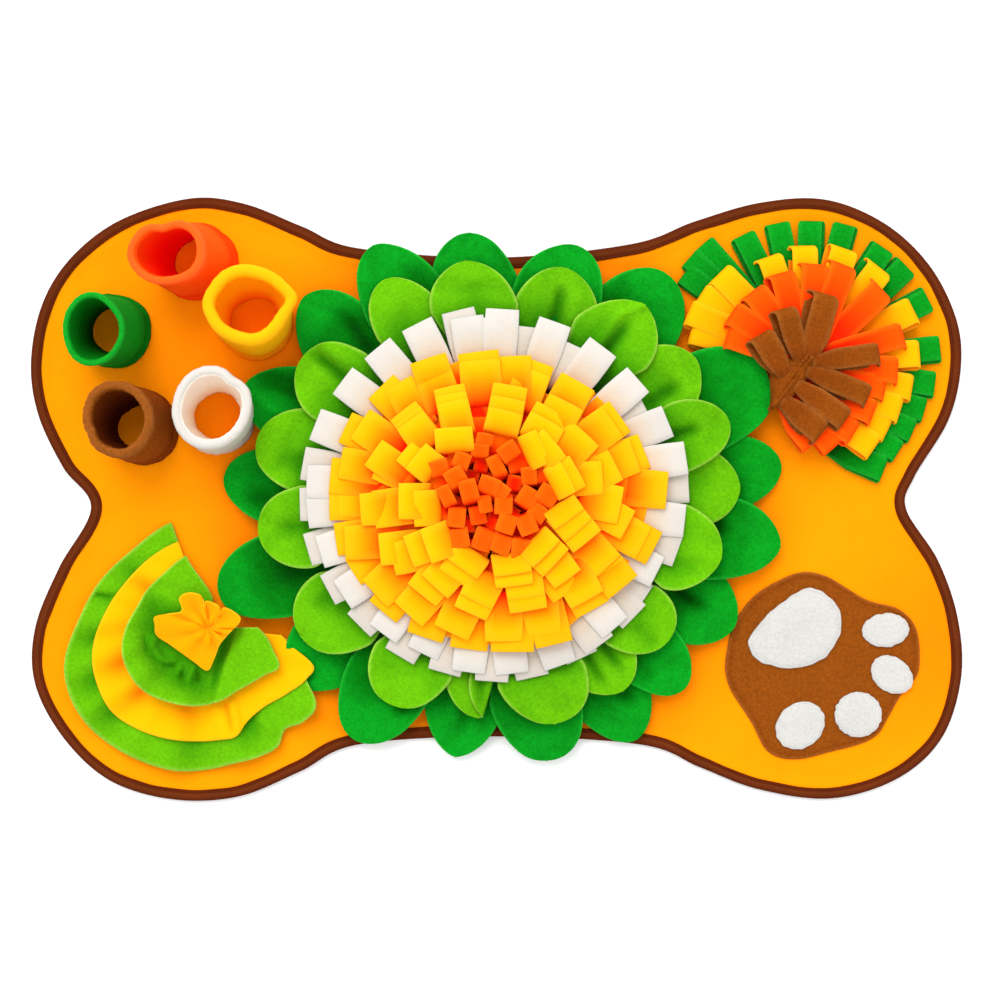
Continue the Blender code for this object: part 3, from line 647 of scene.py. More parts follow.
def build_petals():
    """A ring of dark petals on the mat and a ring of light ones over it. In each ring every second
    petal lies higher than its neighbours."""
    tables = (("dark", DARK_PETALS, 0, DARK_GREEN, 40), ("light", LIGHT_PETALS, 2, LIGHT_GREEN, 90))
    for kind, table, lowest, finish, seed in tables:
        for i, (turn, reach) in enumerate(table):
            level = lowest + i % 2
            if kind == "light":
                level = 3.6 if i == len(table) - 1 else 2 + 0.8 * (i % 2)
            number = f"{kind}_{i + 1:02d}"
            spec = SPECIAL.get(number, {})
            middle, area, width, length, shade = petal_surface(turn, reach, level, seed + 3 * i, spec)
            # Painted shade: each petal deepens towards its root under the fringe, and in the valleys of its creases
            # and ripples.
            inner = ease(1 - (np.linalg.norm(middle[..., :2] - FLOWER, axis=-1) - reach + 0.075) / 0.060)
            tone = np.random.default_rng(seed + i).uniform(-0.4, 0.4)
            depth = np.clip(0.55 * inner + shade, 0, 1)
            mesh = cloth_mesh("petal_" + number + "_cloth", middle, depth=depth, tone=tone)
            piece("leaf_" + number, mesh, finish, ["petal_" + number])  # fmt: skip


# Strips ----------------------------------------------------------------------------------------

WHITE_ROOT = 0.104  # radius that the lower white strips leave from
WHITE_TOP = 0.0412  # height of the lower white strips
WHITE_STEP = 0.0030  # and of the upper ones above them
YELLOW_RIM = 0.155  # about the radius of the outermost yellow ends
YELLOW_TOP = 0.0500  # height of a strip that ends there
YELLOW_SLOPE = 0.200  # how much higher a strip is, for each metre that it ends further in
LAYER_STEP = 0.0022  # between the strips of a tuft
ORANGE_TOP = 0.0640  # height of the orange strips that lie uppermost
ORANGE_STEP = 0.0065  # and how much lower each step of depth is
LOWER_WIDTH = 0.029  # of the yellow strips below
LOWER_SHADE = 0.62  # and how far into the deep colour they start
FEET_WIDTH = 0.015  # of a yellow strip where it stands, drawn together
LOWER_ORANGE = 34  # short orange strips
ORANGE_RADIUS = 0.050  # of the disc that they are spread over
GOLDEN_TURN = 137.5  # from each of them to the next, which spreads them evenly
COIL_TOP = 0.026  # height of the orange band's uncut part
COIL_ROUNDS = 8


def hook(level, distance, stem, last, bend=0.006, foot=0.0065):
    """Paths of strips that stand up, hook over and run on, as the distance and height at 16 rows: a
    straight stem at the stem angle, an arc of the bend radius up to the level, and a straight run
    at the last angle that ends at the distance."""
    given = (level, distance, np.radians(stem), np.radians(last))
    level, distance, stem, last = (np.reshape(v, (-1, 1)) + 0.0 * np.reshape(level, (-1, 1)) for v in given)
    arc = stem + (last - stem) * np.linspace(0, 1, 7)
    arc_away = bend * (np.sin(stem) - np.sin(arc))
    arc_rise = bend * (np.cos(arc) - np.cos(stem))
    up = level - foot - bend * (1 - np.cos(stem))
    out = up / np.tan(stem)
    run = np.maximum(distance - out - arc_away[:, -1:], 0.002)
    t, after = np.linspace(0, 1, 6)[None, :-1], np.linspace(0, 1, 5)[None, 1:]
    away = np.concatenate([out * t, out + arc_away, out + arc_away[:, -1:] + run * after], axis=1)
    over = foot + up + arc_rise
    rise = np.concatenate([foot + up * t, over, over[:, -1:] + run * np.tan(last) * after], axis=1)
    return away, rise


def strip_surfaces(root, ahead, away, rise, width, columns=5, camber=0.0004, roll=0.0):
    """Middle surfaces of strips: each leaves its root in the plan direction ahead, and away and
    rise are the distance and height at each row. The cloth lies square across that direction."""
    across = np.linspace(-1, 1, columns)
    side = np.stack([-ahead[:, 1], ahead[:, 0]], axis=-1)
    share = away / np.maximum(away[:, -1:], 1e-6)
    aside = across * width[..., None] / 2
    plan = root[:, None, None] + ahead[:, None, None] * away[..., None, None]
    plan = plan + side[:, None, None] * aside[..., None]
    tilt = np.reshape(roll, (-1, 1, 1)) * across * width[..., None] / 2 * share[..., None]
    height = rise[..., None] + camber * (1 - across**2) + tilt
    return np.concatenate([plan, height[..., None]], axis=-1)


def plate(inner, outer, z):
    """The flat ring that a fringe is cut from, as one middle surface."""
    radius = np.linspace(inner, outer, 4)[:, None, None]
    plan = FLOWER + radius * bearing(np.arange(PLATE_SIDES) * 360 / PLATE_SIDES)
    return np.concatenate([plan, np.full(plan.shape[:2] + (1,), z)], axis=-1)


def join(name, meshes):
    """One mesh from several."""
    work = bmesh.new()
    for mesh in meshes:
        work.from_mesh(mesh)
    work.to_mesh(meshes[0])
    work.free()
    meshes[0].name = name
    for mesh in meshes[1:]:
        bpy.data.meshes.remove(mesh)
    meshes[0].polygons.foreach_set("use_smooth", np.ones(len(meshes[0].polygons), bool))
    return meshes[0]


# Outer ends of the white strips: turn in degrees, distance from the flower's middle in
# millimetres, 1 for an upper strip and 0 for one that shows below it.
WHITE_TIPS = (
    (88.1, 174, 1), (71.2, 171, 1), (54.2, 171, 1), (39.1, 171, 1), (23.3, 175, 1), (11.1, 181, 1),
    (2.6, 181, 0), (-7.9, 178, 1), (-17.2, 178, 0), (-25.6, 167, 1), (-35.3, 170, 0), (-48.2, 167, 1),
    (-41.5, 173, 0), (-55.5, 171, 0), (-62.2, 173, 0), (-69.4, 171, 1), (-78.8, 175, 0), (-84.9, 168, 1),
    (-91.5, 175, 0), (-99.0, 168, 1), (-106.4, 174, 0), (-115.0, 164, 1), (-121.0, 177, 0),
    (-129.3, 168, 1), (-136.5, 178, 0), (-147.0, 172, 1), (-150.5, 182, 0), (-162.0, 174, 1),
    (-163.7, 185, 0), (-174.8, 178, 1), (-177.2, 185, 0), (176.0, 178, 1), (170.7, 184, 0),
    (158.7, 182, 1), (143.4, 180, 1), (129.1, 177, 1), (115.0, 177, 1), (101.8, 177, 0), (99.5, 169, 1),
    (88.9, 166, 1), (80.0, 160, 0), (63.0, 158, 0), (31.0, 162, 0),
)  # fmt: skip


def build_white():
    """Broad strips that stand up from a ring, bend over and lie outwards."""
    dice = np.random.default_rng(21)
    turn, tip, upper = np.array(WHITE_TIPS, float).T
    tip = tip / 1000
    count = len(turn)
    root_radius = WHITE_ROOT - 0.004 * upper
    root = FLOWER + root_radius[:, None] * bearing(turn + dice.uniform(-2, 2, count))
    end = FLOWER + tip[:, None] * bearing(turn)
    ahead = unit(end - root)
    length = np.linalg.norm(end - root, axis=1)
    top = WHITE_TOP + WHITE_STEP * upper + (np.arange(count) % 2) * 0.0012
    away, rise = hook(top, length, 76, dice.uniform(-4, 0, count), 0.008)
    width = np.minimum(0.0305, 0.022 + 0.0085 * ease(away / length[:, None] / 0.6))
    middle = strip_surfaces(root, ahead, away, rise, width, 6, roll=dice.uniform(-0.04, 0.04, count))
    # Painted shade, warmed as if by light bounced off the yellow strips: each strip deepens to peach towards its
    # root, and the lower strips are deeper.
    depth = np.clip((length[:, None] - away - 0.012) / 0.034, 0, 1)[..., None] + np.zeros(middle.shape[:3])
    depth = np.maximum(depth, 0.22 * (1 - upper)[:, None, None])
    # Random tone, and a painted shade that darkens the lower strips.
    tone = dice.uniform(-0.15, 0.15, count) - 0.5 * (1 - upper)
    strips = cloth_mesh("white_strips", middle, depth=depth, tone=tone)
    ring = plate(0.094, 0.110, SEWN_ON + CLOTH / 2)
    # Painted shade: the base ring under the strips is in the deepest colour.
    base = cloth_mesh("white_base", ring, wrap=True, depth=1.0)
    piece("white_fringe_cloth", join("white_fringe_cloth", [strips, base]), WHITE, ["fringe_white"])  # fmt: skip


# Yellow tufts that show: end of the lowest strip from the flower's middle in millimetres, turn it
# faces in degrees, width, number of strips in the tuft, step from one end to the next.
YELLOW_TUFTS = (
    (-17, 133, 97, 37, 2, 8), (-64, 127, 108, 34, 2, 7), (16, 129, 92, 32, 1, 0), (38, 124, 70, 32, 2, 9),
    (76, 105, 60, 34, 3, 11), (115, 73, 36, 34, 2, 9), (138, 41, 22, 33, 2, 10), (159, 4, 355, 34, 2, 10),
    (147, -50, 332, 33, 2, 11), (118, -86, 310, 34, 3, 12), (90, -107, 299, 34, 2, 11),
    (54, -139, 284, 34, 1, 0), (43, -130, 275, 34, 1, 0), (15, -146, 270, 39, 1, 0),
    (7, -136, 270, 34, 1, 0), (-26, -144, 262, 34, 1, 0), (-42, -128, 245, 34, 1, 0),
    (-67, -133, 252, 34, 1, 0), (-106, -109, 230, 32, 1, 0), (-82, -111, 228, 34, 1, 0),
    (-113, -92, 222, 34, 1, 0), (-134, -72, 213, 28, 1, 0), (-150, -42, 188, 30, 1, 0),
    (-141, -45, 183, 31, 1, 0), (-156, -7, 181, 33, 1, 0), (-147, -5, 181, 31, 1, 0),
    (-155, 18, 175, 33, 1, 0), (-145, 30, 170, 29, 1, 0), (-141, 63, 155, 30, 1, 0),
    (-127, 66, 146, 32, 1, 0), (-108, 101, 134, 32, 1, 0), (-92, 104, 120, 29, 1, 0),
    (13, 101, 80, 31, 3, 12), (-44, 100, 103, 28, 3, 7), (-87, 78, 128, 29, 3, 6),
    (-114, 39, 145, 28, 1, 0), (-111, 27, 157, 25, 1, 0), (-126, -14, 184, 29, 1, 0),
    (-114, -14, 188, 34, 1, 0), (-108, -51, 186, 29, 1, 0), (-96, -60, 192, 30, 1, 0),
    (-69, -93, 231, 33, 1, 0), (-57, -85, 228, 32, 1, 0), (-24, -110, 245, 32, 2, 12),
    (30, -107, 280, 34, 2, 12), (65, -92, 306, 29, 1, 0), (66, -78, 306, 29, 1, 0),
    (84, -43, 309, 32, 3, 13), (122, -28, 332, 29, 1, 0), (115, -10, 349, 34, 1, 0),
    (110, 29, 27, 33, 1, 0), (98, 16, 4, 30, 1, 0), (82, 57, 48, 34, 1, 0), (53, 78, 60, 34, 2, 11),
    (-40, 62, 95, 34, 1, 0), (-83, 43, 140, 29, 2, 11), (-90, -6, 180, 32, 1, 0), (-76, -13, 182, 32, 1, 0),
    (-81, -53, 200, 30, 1, 0), (-65, -48, 200, 32, 1, 0), (-39, -78, 235, 34, 2, 12),
    (17, -84, 278, 34, 2, 11), (55, -63, 317, 34, 2, 12), (75, 22, 29, 31, 2, 10), (43, 45, 24, 32, 1, 0),
    (54, 48, 40, 32, 1, 0),
)
# Rings of tufts below them: distance of the ends, height, number.
YELLOW_BELOW = ((0.140, 0.0475, 30), (0.116, 0.0500, 24), (0.092, 0.0525, 18), (0.070, 0.0545, 13))


def stem_distance(reach):
    """How far behind its end a yellow strip is sewn: the more, the further out the end lies."""
    return reach - 0.040 - (reach - 0.060) * 0.42


def build_yellow():
    """Tufts of one to three strips that stand up, hook over and run outwards, with their ends a
    step apart. The height falls with the distance of the end from the middle."""
    dice = np.random.default_rng(12)
    x, y, facing, wide, layers, step = np.array(YELLOW_TUFTS, float).T
    tips, facings, widths, levels, roots, rolls, tones, below = ([] for _ in range(8))
    for i in range(len(x)):
        reach = math.hypot(x[i], y[i]) / 1000
        ahead = bearing(facing[i])
        roll = dice.uniform(-0.09, 0.09)
        root = stem_distance(reach) + (0.006 if layers[i] == 3 and reach < 0.11 else 0.0)
        level = YELLOW_TOP + (YELLOW_RIM - reach) * YELLOW_SLOPE + 0.0007 * (i % 3)
        for layer in range(int(layers[i])):
            tips.append(np.array((x[i], y[i])) / 1000 - ahead * step[i] * layer / 1000)
            facings.append(facing[i] + dice.uniform(-2, 2) * layer)
            widths.append(wide[i] / 1000)
            levels.append(level + LAYER_STEP * layer)
            roots.append(root - step[i] * layer / 1000)
            rolls.append(roll)
            tones.append(dice.uniform(-0.25, 0.25))
            below.append(0.0)
    for reach, level, count in YELLOW_BELOW:
        for i in range(count):
            turn = i * 360 / count + dice.uniform(-4, 4)
            tips.append((reach - 0.012 * max(0.0, math.sin(math.radians(turn)))) * bearing(turn))
            facings.append(turn + dice.uniform(-12, 12))
            widths.append(LOWER_WIDTH)
            levels.append(level + 0.0012 * (i % 2))
            roots.append(stem_distance(reach))
            rolls.append(dice.uniform(-0.05, 0.05))
            tones.append(dice.uniform(-0.2, 0.2))
            below.append(LOWER_SHADE)
    distance = np.maximum(roots, 0.015)
    ahead = bearing(np.array(facings))
    stem = np.clip(87 - (distance - 0.02) * 380, 66, 87)
    last = dice.uniform(-7, 3, len(tips)) - 5 * (np.array(below) > 0)
    away, rise = hook(np.array(levels), distance, stem, last)
    wide = np.array(widths)[:, None]
    width = np.minimum(wide, FEET_WIDTH + (wide - FEET_WIDTH) * ease(rise / 0.034))
    root = FLOWER + np.array(tips) - ahead * distance[:, None]
    middle = strip_surfaces(root, ahead, away, rise, width, 5, roll=np.array(rolls))
    # Painted shade: the strips deepen to orange and red towards their roots and lower down, and the strips below
    # start deep.
    back = (away[:, -1:] - away) + np.clip(np.array(levels)[:, None] - 0.004 - rise, 0, 1)
    depth = np.clip((back - 0.006) / 0.036 + np.array(below)[:, None], 0, 1)
    depth = depth[..., None] + np.zeros(middle.shape[:3])
    strips = cloth_mesh("yellow_strips", middle, depth=depth, tone=np.array(tones))
    ring = plate(0.048, 0.093, SEWN_ON + CLOTH / 2)
    # Painted shade: the base ring under the tufts is in the deepest colour.
    base = cloth_mesh("yellow_base", ring, wrap=True, depth=1.0)
    piece("yellow_tufts_cloth", join("yellow_tufts_cloth", [strips, base]), YELLOW, ["fringe_yellow"])  # fmt: skip


# Ends of the orange strips: middle from the flower's middle in millimetres, width, length, turn in
# degrees, and how deep the end lies, in steps, which also deepens its painted shade.
ORANGE_ENDS = (
    (-10.4, 51.7, 14, 9, -10, 0), (-15.2, 41.3, 15, 11, -5, 0), (11.4, 40.3, 17, 14, 35, 0),
    (-32.2, 31.8, 14, 14, -20, 0), (-37.9, 16.6, 17, 15, 30, 0), (0.0, 27.0, 12, 18, 25, 0),
    (20.0, 28.0, 17, 12, 15, 1), (30.4, 17.6, 13, 15, 5, 0), (42.7, 18.5, 9, 14, -0, 1),
    (29.4, -2.4, 17, 17, -32, 0), (47.5, -0.5, 18, 17, -32, 0), (-25.6, 4.3, 15, 18, 15, 0),
    (-46.5, -0.5, 11, 17, 25, 0), (-6.6, 9.0, 18, 14, -20, 0), (3.8, 4.3, 15, 12, -35, 0),
    (-10.4, -9.0, 11, 14, 10, 0), (6.7, -10.0, 15, 15, -2, 0), (38.9, -16.6, 16, 14, -38, 0),
    (-37.0, -21.4, 15, 16, -5, 0), (-17.1, -19.5, 14, 15, 10, 1), (9.5, -27.0, 16, 16, -20, 0),
    (28.5, -28.0, 16, 16, 22, 0), (-34.1, -40.3, 16, 16, 10, 0), (-12.3, -42.2, 17, 18, -20, 0),
    (4.8, -46.0, 17, 16, -22, 0), (22.8, -50.8, 16, 17, -5, 0), (-53.1, 25.1, 16, 13, 15, 0),
    (-14.2, 28.0, 12, 12, -10, 2), (17.1, 10.9, 13, 13, -10, 2), (-25.6, -28.9, 11, 11, -0, 2),
    (-4.7, -25.1, 11, 11, -30, 2), (14.3, -21.4, 11, 11, -30, 2),
)


def build_orange():
    """A rolled band whose uncut part stands as a coil, and its strips, which stand up from it and
    hook over. Short strips fill the spaces below."""
    dice = np.random.default_rng(31)
    x, y, wide, long, turn, deep = np.array(ORANGE_ENDS, float).T
    spot = np.stack([x, y], axis=-1) / 1000
    ahead = bearing(turn + 90)
    ahead = np.where((ahead * spot).sum(1, keepdims=True) < 0, -ahead, ahead)
    level = ORANGE_TOP - ORANGE_STEP * deep + dice.uniform(-0.0022, 0.0022, len(x))
    more = LOWER_ORANGE
    number = np.arange(more) + 0.5
    radius = ORANGE_RADIUS * np.sqrt(number / more)
    spot = np.concatenate([spot, radius[:, None] * bearing(number * GOLDEN_TURN)])
    ahead = np.concatenate([ahead, bearing(number * GOLDEN_TURN + dice.uniform(-70, 70, more))])
    level = np.concatenate([level, dice.uniform(0.036, 0.048, more)])
    wide = np.concatenate([wide / 1000, np.full(more, 0.012)])
    long = np.concatenate([long / 1000, np.full(more, 0.009)])
    deep = np.concatenate([deep * 0.25, dice.uniform(0.6, 1.0, more)])
    count = len(wide)
    stem = dice.uniform(76, 86, count)
    distance = (level - 0.012) / np.tan(np.radians(stem)) + long
    last = dice.uniform(-10, 22, count)
    away, rise = hook(level, distance, stem, last, 0.003, 0.012)
    root = FLOWER + spot + ahead * (long / 2 - distance)[:, None]
    middle = strip_surfaces(root, ahead, away, rise, wide[:, None] + 0 * away, 4, 0.0003,
                            dice.uniform(-0.22, 0.22, count))  # fmt: skip
    # Painted shade: the strips deepen to red lower down and where their ends lie deeper, and the short strips below
    # start deep.
    depth = np.clip((level[:, None] - 0.004 - rise) / 0.016, 0, 1) + deep[:, None]
    depth = np.clip(depth, 0, 1)[..., None] + np.zeros(middle.shape[:3])
    strips = cloth_mesh("orange_strips", middle, depth=depth, tone=dice.uniform(-0.5, 0.5, count))
    round_it = np.linspace(0, 1, 420)
    coil = (0.004 + 0.043 * round_it)[:, None] * bearing(360 * COIL_ROUNDS * round_it**0.6)
    tall = np.linspace(SEWN_ON + 0.001, COIL_TOP, 4)[:, None]
    coil_x, coil_y = coil[None, :, 0], coil[None, :, 1]
    wall = np.stack([coil_x + 0 * tall, coil_y + 0 * tall, 0 * coil_x + tall], -1)
    wall[..., :2] += FLOWER
    # Painted shade: the coil under the strips is in the deepest colour.
    base = cloth_mesh("orange_base", wall, depth=1.0)
    piece("orange_middle_cloth", join("orange_middle_cloth", [strips, base]), ORANGE, ["fringe_orange"])  # fmt: skip


# The fan ---------------------------------------------------------------------------------------

# Each layer: piece, node, slot, finish, heights of the lower and upper run, swell of the loop's end,
# usual width, then its strips: end in millimetres from the fan's middle, shift of the lower run to
# the left under the upper one, and for some of them the place they leave from and the width.
FAN_LAYERS = (
    ("fan_green_cloth", "fan_green", "dark_green_fleece", DARK_GREEN, 0.0063, 0.0088, 0.0020, 0.0215, (
        (-118, 86, 2), (-113, 101, 2), (-100, 114, 3), (-61, 123, 4), (-28, 134, 3), (3, 136, -3),
        (36, 133, -3), (74, 110, 3), (96, 92, 3), (117, 60, 3), (128, 14, -3), (123, -21, -3), (113, -46, -3),
        (102, -66, -3), (88, -86, -3), (74, -103, -3, 20, -82, 25))),
    ("fan_yellow_cloth", "fan_yellow", "yellow_fleece", YELLOW, 0.0112, 0.0165, 0.0035, 0.0240, (
        (-112, 30, 4), (-114, 49, 4), (-102, 66, 5), (-84, 86, 5), (-36, 102, 7), (-2, 112, 6), (37, 109, 6),
        (71, 90, 7), (102, 51, -4), (108, 9, -4), (101, -24, -4), (90, -45, -4), (78, -64, -4),
        (65, -82, -4))),
    ("fan_orange_cloth", "fan_orange", "orange_fleece", ORANGE, 0.0191, 0.0255, 0.0040, 0.0235, (
        (-77, 26, 5), (-72, 48, 6), (-51, 69, 7), (-24, 86, 8), (9, 94, 8), (37, 93, 8),
        (73, 69, 7), (92, 27, -5), (87, -7, -5), (75, -24, -5), (64, -48, -5), (45, -68, -5),
        (28, -80, -3, -12, -34, 28), (8, -77, -3, -22, -40, 30))),
    ("fan_brown_cloth", "fan_brown", "brown_fleece", BROWN, 0.0284, 0.0355, 0.0040, 0.0230, (
        (20, 65, 11, 2, 2, 24), (-20, 52, 10, -6, 0, 20), (-44, 27, 9, -20, -14, 22), (69, 9, -4, 6, 0, 19),
        (59, -32, -5, 0, -8, 20), (37, -55, -5, -10, -22, 22), (14, -68, -5, -24, -37, 24))),
)  # fmt: skip


def loop_strips(low, high, swell, usual, table, seed):
    """Strips that run out from the gathers, turn over at the end and run back above. Those on the
    lower right leave from further along the gathers."""
    dice = np.random.default_rng(seed)
    end = np.array([row[:2] for row in table], float) / 1000
    shift = np.array([row[2] for row in table], float)[:, None] / 1000
    turn = np.degrees(np.arctan2(end[:, 1], end[:, 0]))[:, None]
    start = np.clip(-turn / 60, 0, 1) * (-0.018, -0.030) + 0.004 * bearing(turn[:, 0])
    wide = np.full(len(table), usual)
    for i, row in enumerate(table):
        if len(row) > 3:
            start[i] = np.array(row[3:5]) / 1000
            wide[i] = row[5] / 1000
    count = len(table)
    length = np.linalg.norm(end - start, axis=1)[:, None]
    ahead = (end - start) / length
    swell = swell * dice.uniform(0.6, 1.3, (count, 1))
    run = np.linspace(0, 1, 15)[None]
    back = np.linspace(0, 1, 9)[None, 1:-1] * math.pi
    bow = (high + swell - low) / 2
    far = length - bow
    away = np.concatenate([far * run, far + bow * np.sin(back), far * (1 - run)], axis=1)
    above = high + swell * ease((far * (1 - run) - 0.02) / np.maximum(far - 0.02, 0.01))
    above = above - 0.0035 * (1 - ease(far * (1 - run) / 0.012)) + 0.0007 * (np.arange(count) % 2)[:, None]
    height = np.concatenate([low + 0 * run * far, low + bow * (1 - np.cos(back)), above], axis=1)
    lower = np.concatenate([1 + 0 * run, 1 - ease(back / math.pi), 0 * run], axis=1) + 0 * away
    width = wide[:, None] * dice.uniform(0.95, 1.04, (count, 1)) * (0.60 + 0.40 * ease(away / 0.026))
    across = np.linspace(-1, 1, 6)
    side = np.stack([-ahead[:, 1], ahead[:, 0]], axis=-1)
    aside = width[..., None] / 2 * across + (shift * lower * away / length)[..., None]
    plan = FAN + start[:, None, None] + ahead[:, None, None] * away[..., None, None]
    plan = plan + side[:, None, None] * aside[..., None]
    tilt = dice.uniform(-0.06, 0.06, (count, 1)) * np.clip((away - 0.02) / 0.04, 0, 1)
    pleat = 0.0022 * (1 - lower) * (1 - ease(away / 0.030))
    height = height[..., None] + (tilt * width)[..., None] * across / 2 + pleat[..., None] * (1 - across**2)
    middle = seen(np.concatenate([plan, height[..., None]], axis=-1))
    # Painted shade: each strip deepens towards the gathers it leaves from, and the lower run under each loop is
    # deeper.
    share = np.clip(1.02 - away / length, 0, 1)
    depth = np.clip(share * 0.85 + 0.5 * lower, 0, 1)[..., None] + np.zeros(middle.shape[:3])
    return middle, depth, dice.uniform(-0.3, 0.3, count)


def gathered_seam():
    """The brown cloth's uncut middle: a patch, mostly on the left of the seam, that ends in two
    narrow ridges along the seam and small pleats round the knot at its upper end."""
    along = np.linspace(0, 1, 70)[:, None]
    side = np.linspace(-1, 1, 48)[None]
    side = np.sign(side) * np.abs(side) ** 1.6
    first, last = np.array((-0.0370, -0.0460)), np.array((0.003, 0.0065))
    ahead = unit(last - first)
    across = np.array((-ahead[1], ahead[0]))
    left = 0.0005 + 0.0215 * ease(along / 0.55) * (1 - 0.65 * ease((along - 0.65) / 0.35))
    apart = side * np.where(side > 0, left, 0.0005 + 0.010 * ease(along / 0.25))
    place = first + (last - first) * along[..., None] + across * apart[..., None]
    from_knot = place - np.array((-0.001, -0.003))
    turn = np.degrees(np.arctan2(from_knot[..., 1], from_knot[..., 0]))
    away = np.hypot(from_knot[..., 0], from_knot[..., 1])
    pleats = np.sin(np.radians(turn) * 9) * ease(away / 0.005) * (1 - ease((away - 0.010) / 0.020))
    height = 0.0350 - np.where(side > 0, 0.0110, 0.0050) * np.abs(side) ** 2
    height = height + 0.0009 * pleats - 0.006 * ease((0.12 - along) / 0.12)
    ridges = hump(apart - 0.0022, 0.0013) + hump(apart + 0.0020, 0.0012)
    height = height + 0.0017 * ridges - 0.0016 * hump(away, 0.003)
    height = height + 0.0005 * ripple(place[..., 0], place[..., 1], 0.010, 66)
    return seen(np.concatenate([FAN + place, height[..., None]], axis=-1))


def build_fan():
    """The four layers of looped strips, each on the one before, and the seam on the brown one."""
    for i, (name, node, slot, finish, low, high, swell, usual, table) in enumerate(FAN_LAYERS):
        middle, depth, tone = loop_strips(low, high, swell, usual, table, 60 + i)
        # The brown layer takes less of the painted shade.
        painted_shade_share = 0.4 if node == "fan_brown" else 1.0
        mesh = cloth_mesh(name, middle, depth=painted_shade_share * depth, tone=tone)
        area = area_of(middle)
        if node == "fan_brown":
            seam = gathered_seam()
            area += area_of(seam)
            mesh = join(name, [mesh, cloth_mesh("seam", seam, depth=0.15)])
        piece(name, mesh, finish, [node])


# The cups --------------------------------------------------------------------------------------

# Name, base, lean of the rim, base radius, rim half sizes, roll of the rim, dents of the rim (turn
# in degrees, depth, half width in degrees), finish, slot, depth of the painted shade inside, tone
# of the painted light that lightens the inner wall, fuzz.
CUPS = (
    ("cup_red", (-0.287, 0.228), (-0.020, 0.001), 0.0365, (0.0350, 0.0300), 0.0075,
     ((96, 0.0055, 22), (20, -0.002, 30)), RED_ORANGE, "red_orange_fleece", 1.0, 0.0, 0.0002),
    ("cup_yellow", (-0.233, 0.171), (0.003, 0.010), 0.0365, (0.0385, 0.0375), 0.0115,
     ((178, -0.003, 20), (8, -0.0070, 15), (55, 0.0015, 24), (320, 0.001, 20)), YELLOW, "yellow_fleece",
     0.0, 0.3, 0.0002),
    ("cup_brown", (-0.344, 0.068), (-0.007, 0.006), 0.0355, (0.0320, 0.0345), 0.0085,
     ((30, 0.002, 30), (140, -0.001, 30), (205, 0.002, 12)), BROWN, "brown_fleece", 0.8, 0.0, 0.0004),
    ("cup_white", (-0.269, 0.080), (0.004, 0.004), 0.0360, (0.0355, 0.0380), 0.0090,
     ((150, 0.001, 30), (52, 0.0030, 12), (20, -0.002, 20)), WHITE, "white_fleece", 0.15, 4.0, 0.0003),
    ("cup_green", (-0.369, 0.162), (-0.004, -0.005), 0.0350, (0.0272, 0.0332), 0.0055,
     ((180, -0.001, 40), (50, 0.001, 30)), DARK_GREEN, "dark_green_fleece", 0.5, 0.0, 0.0002),
)  # fmt: skip
CUP_HEIGHT = 0.070
CUP_WALL = 0.0030


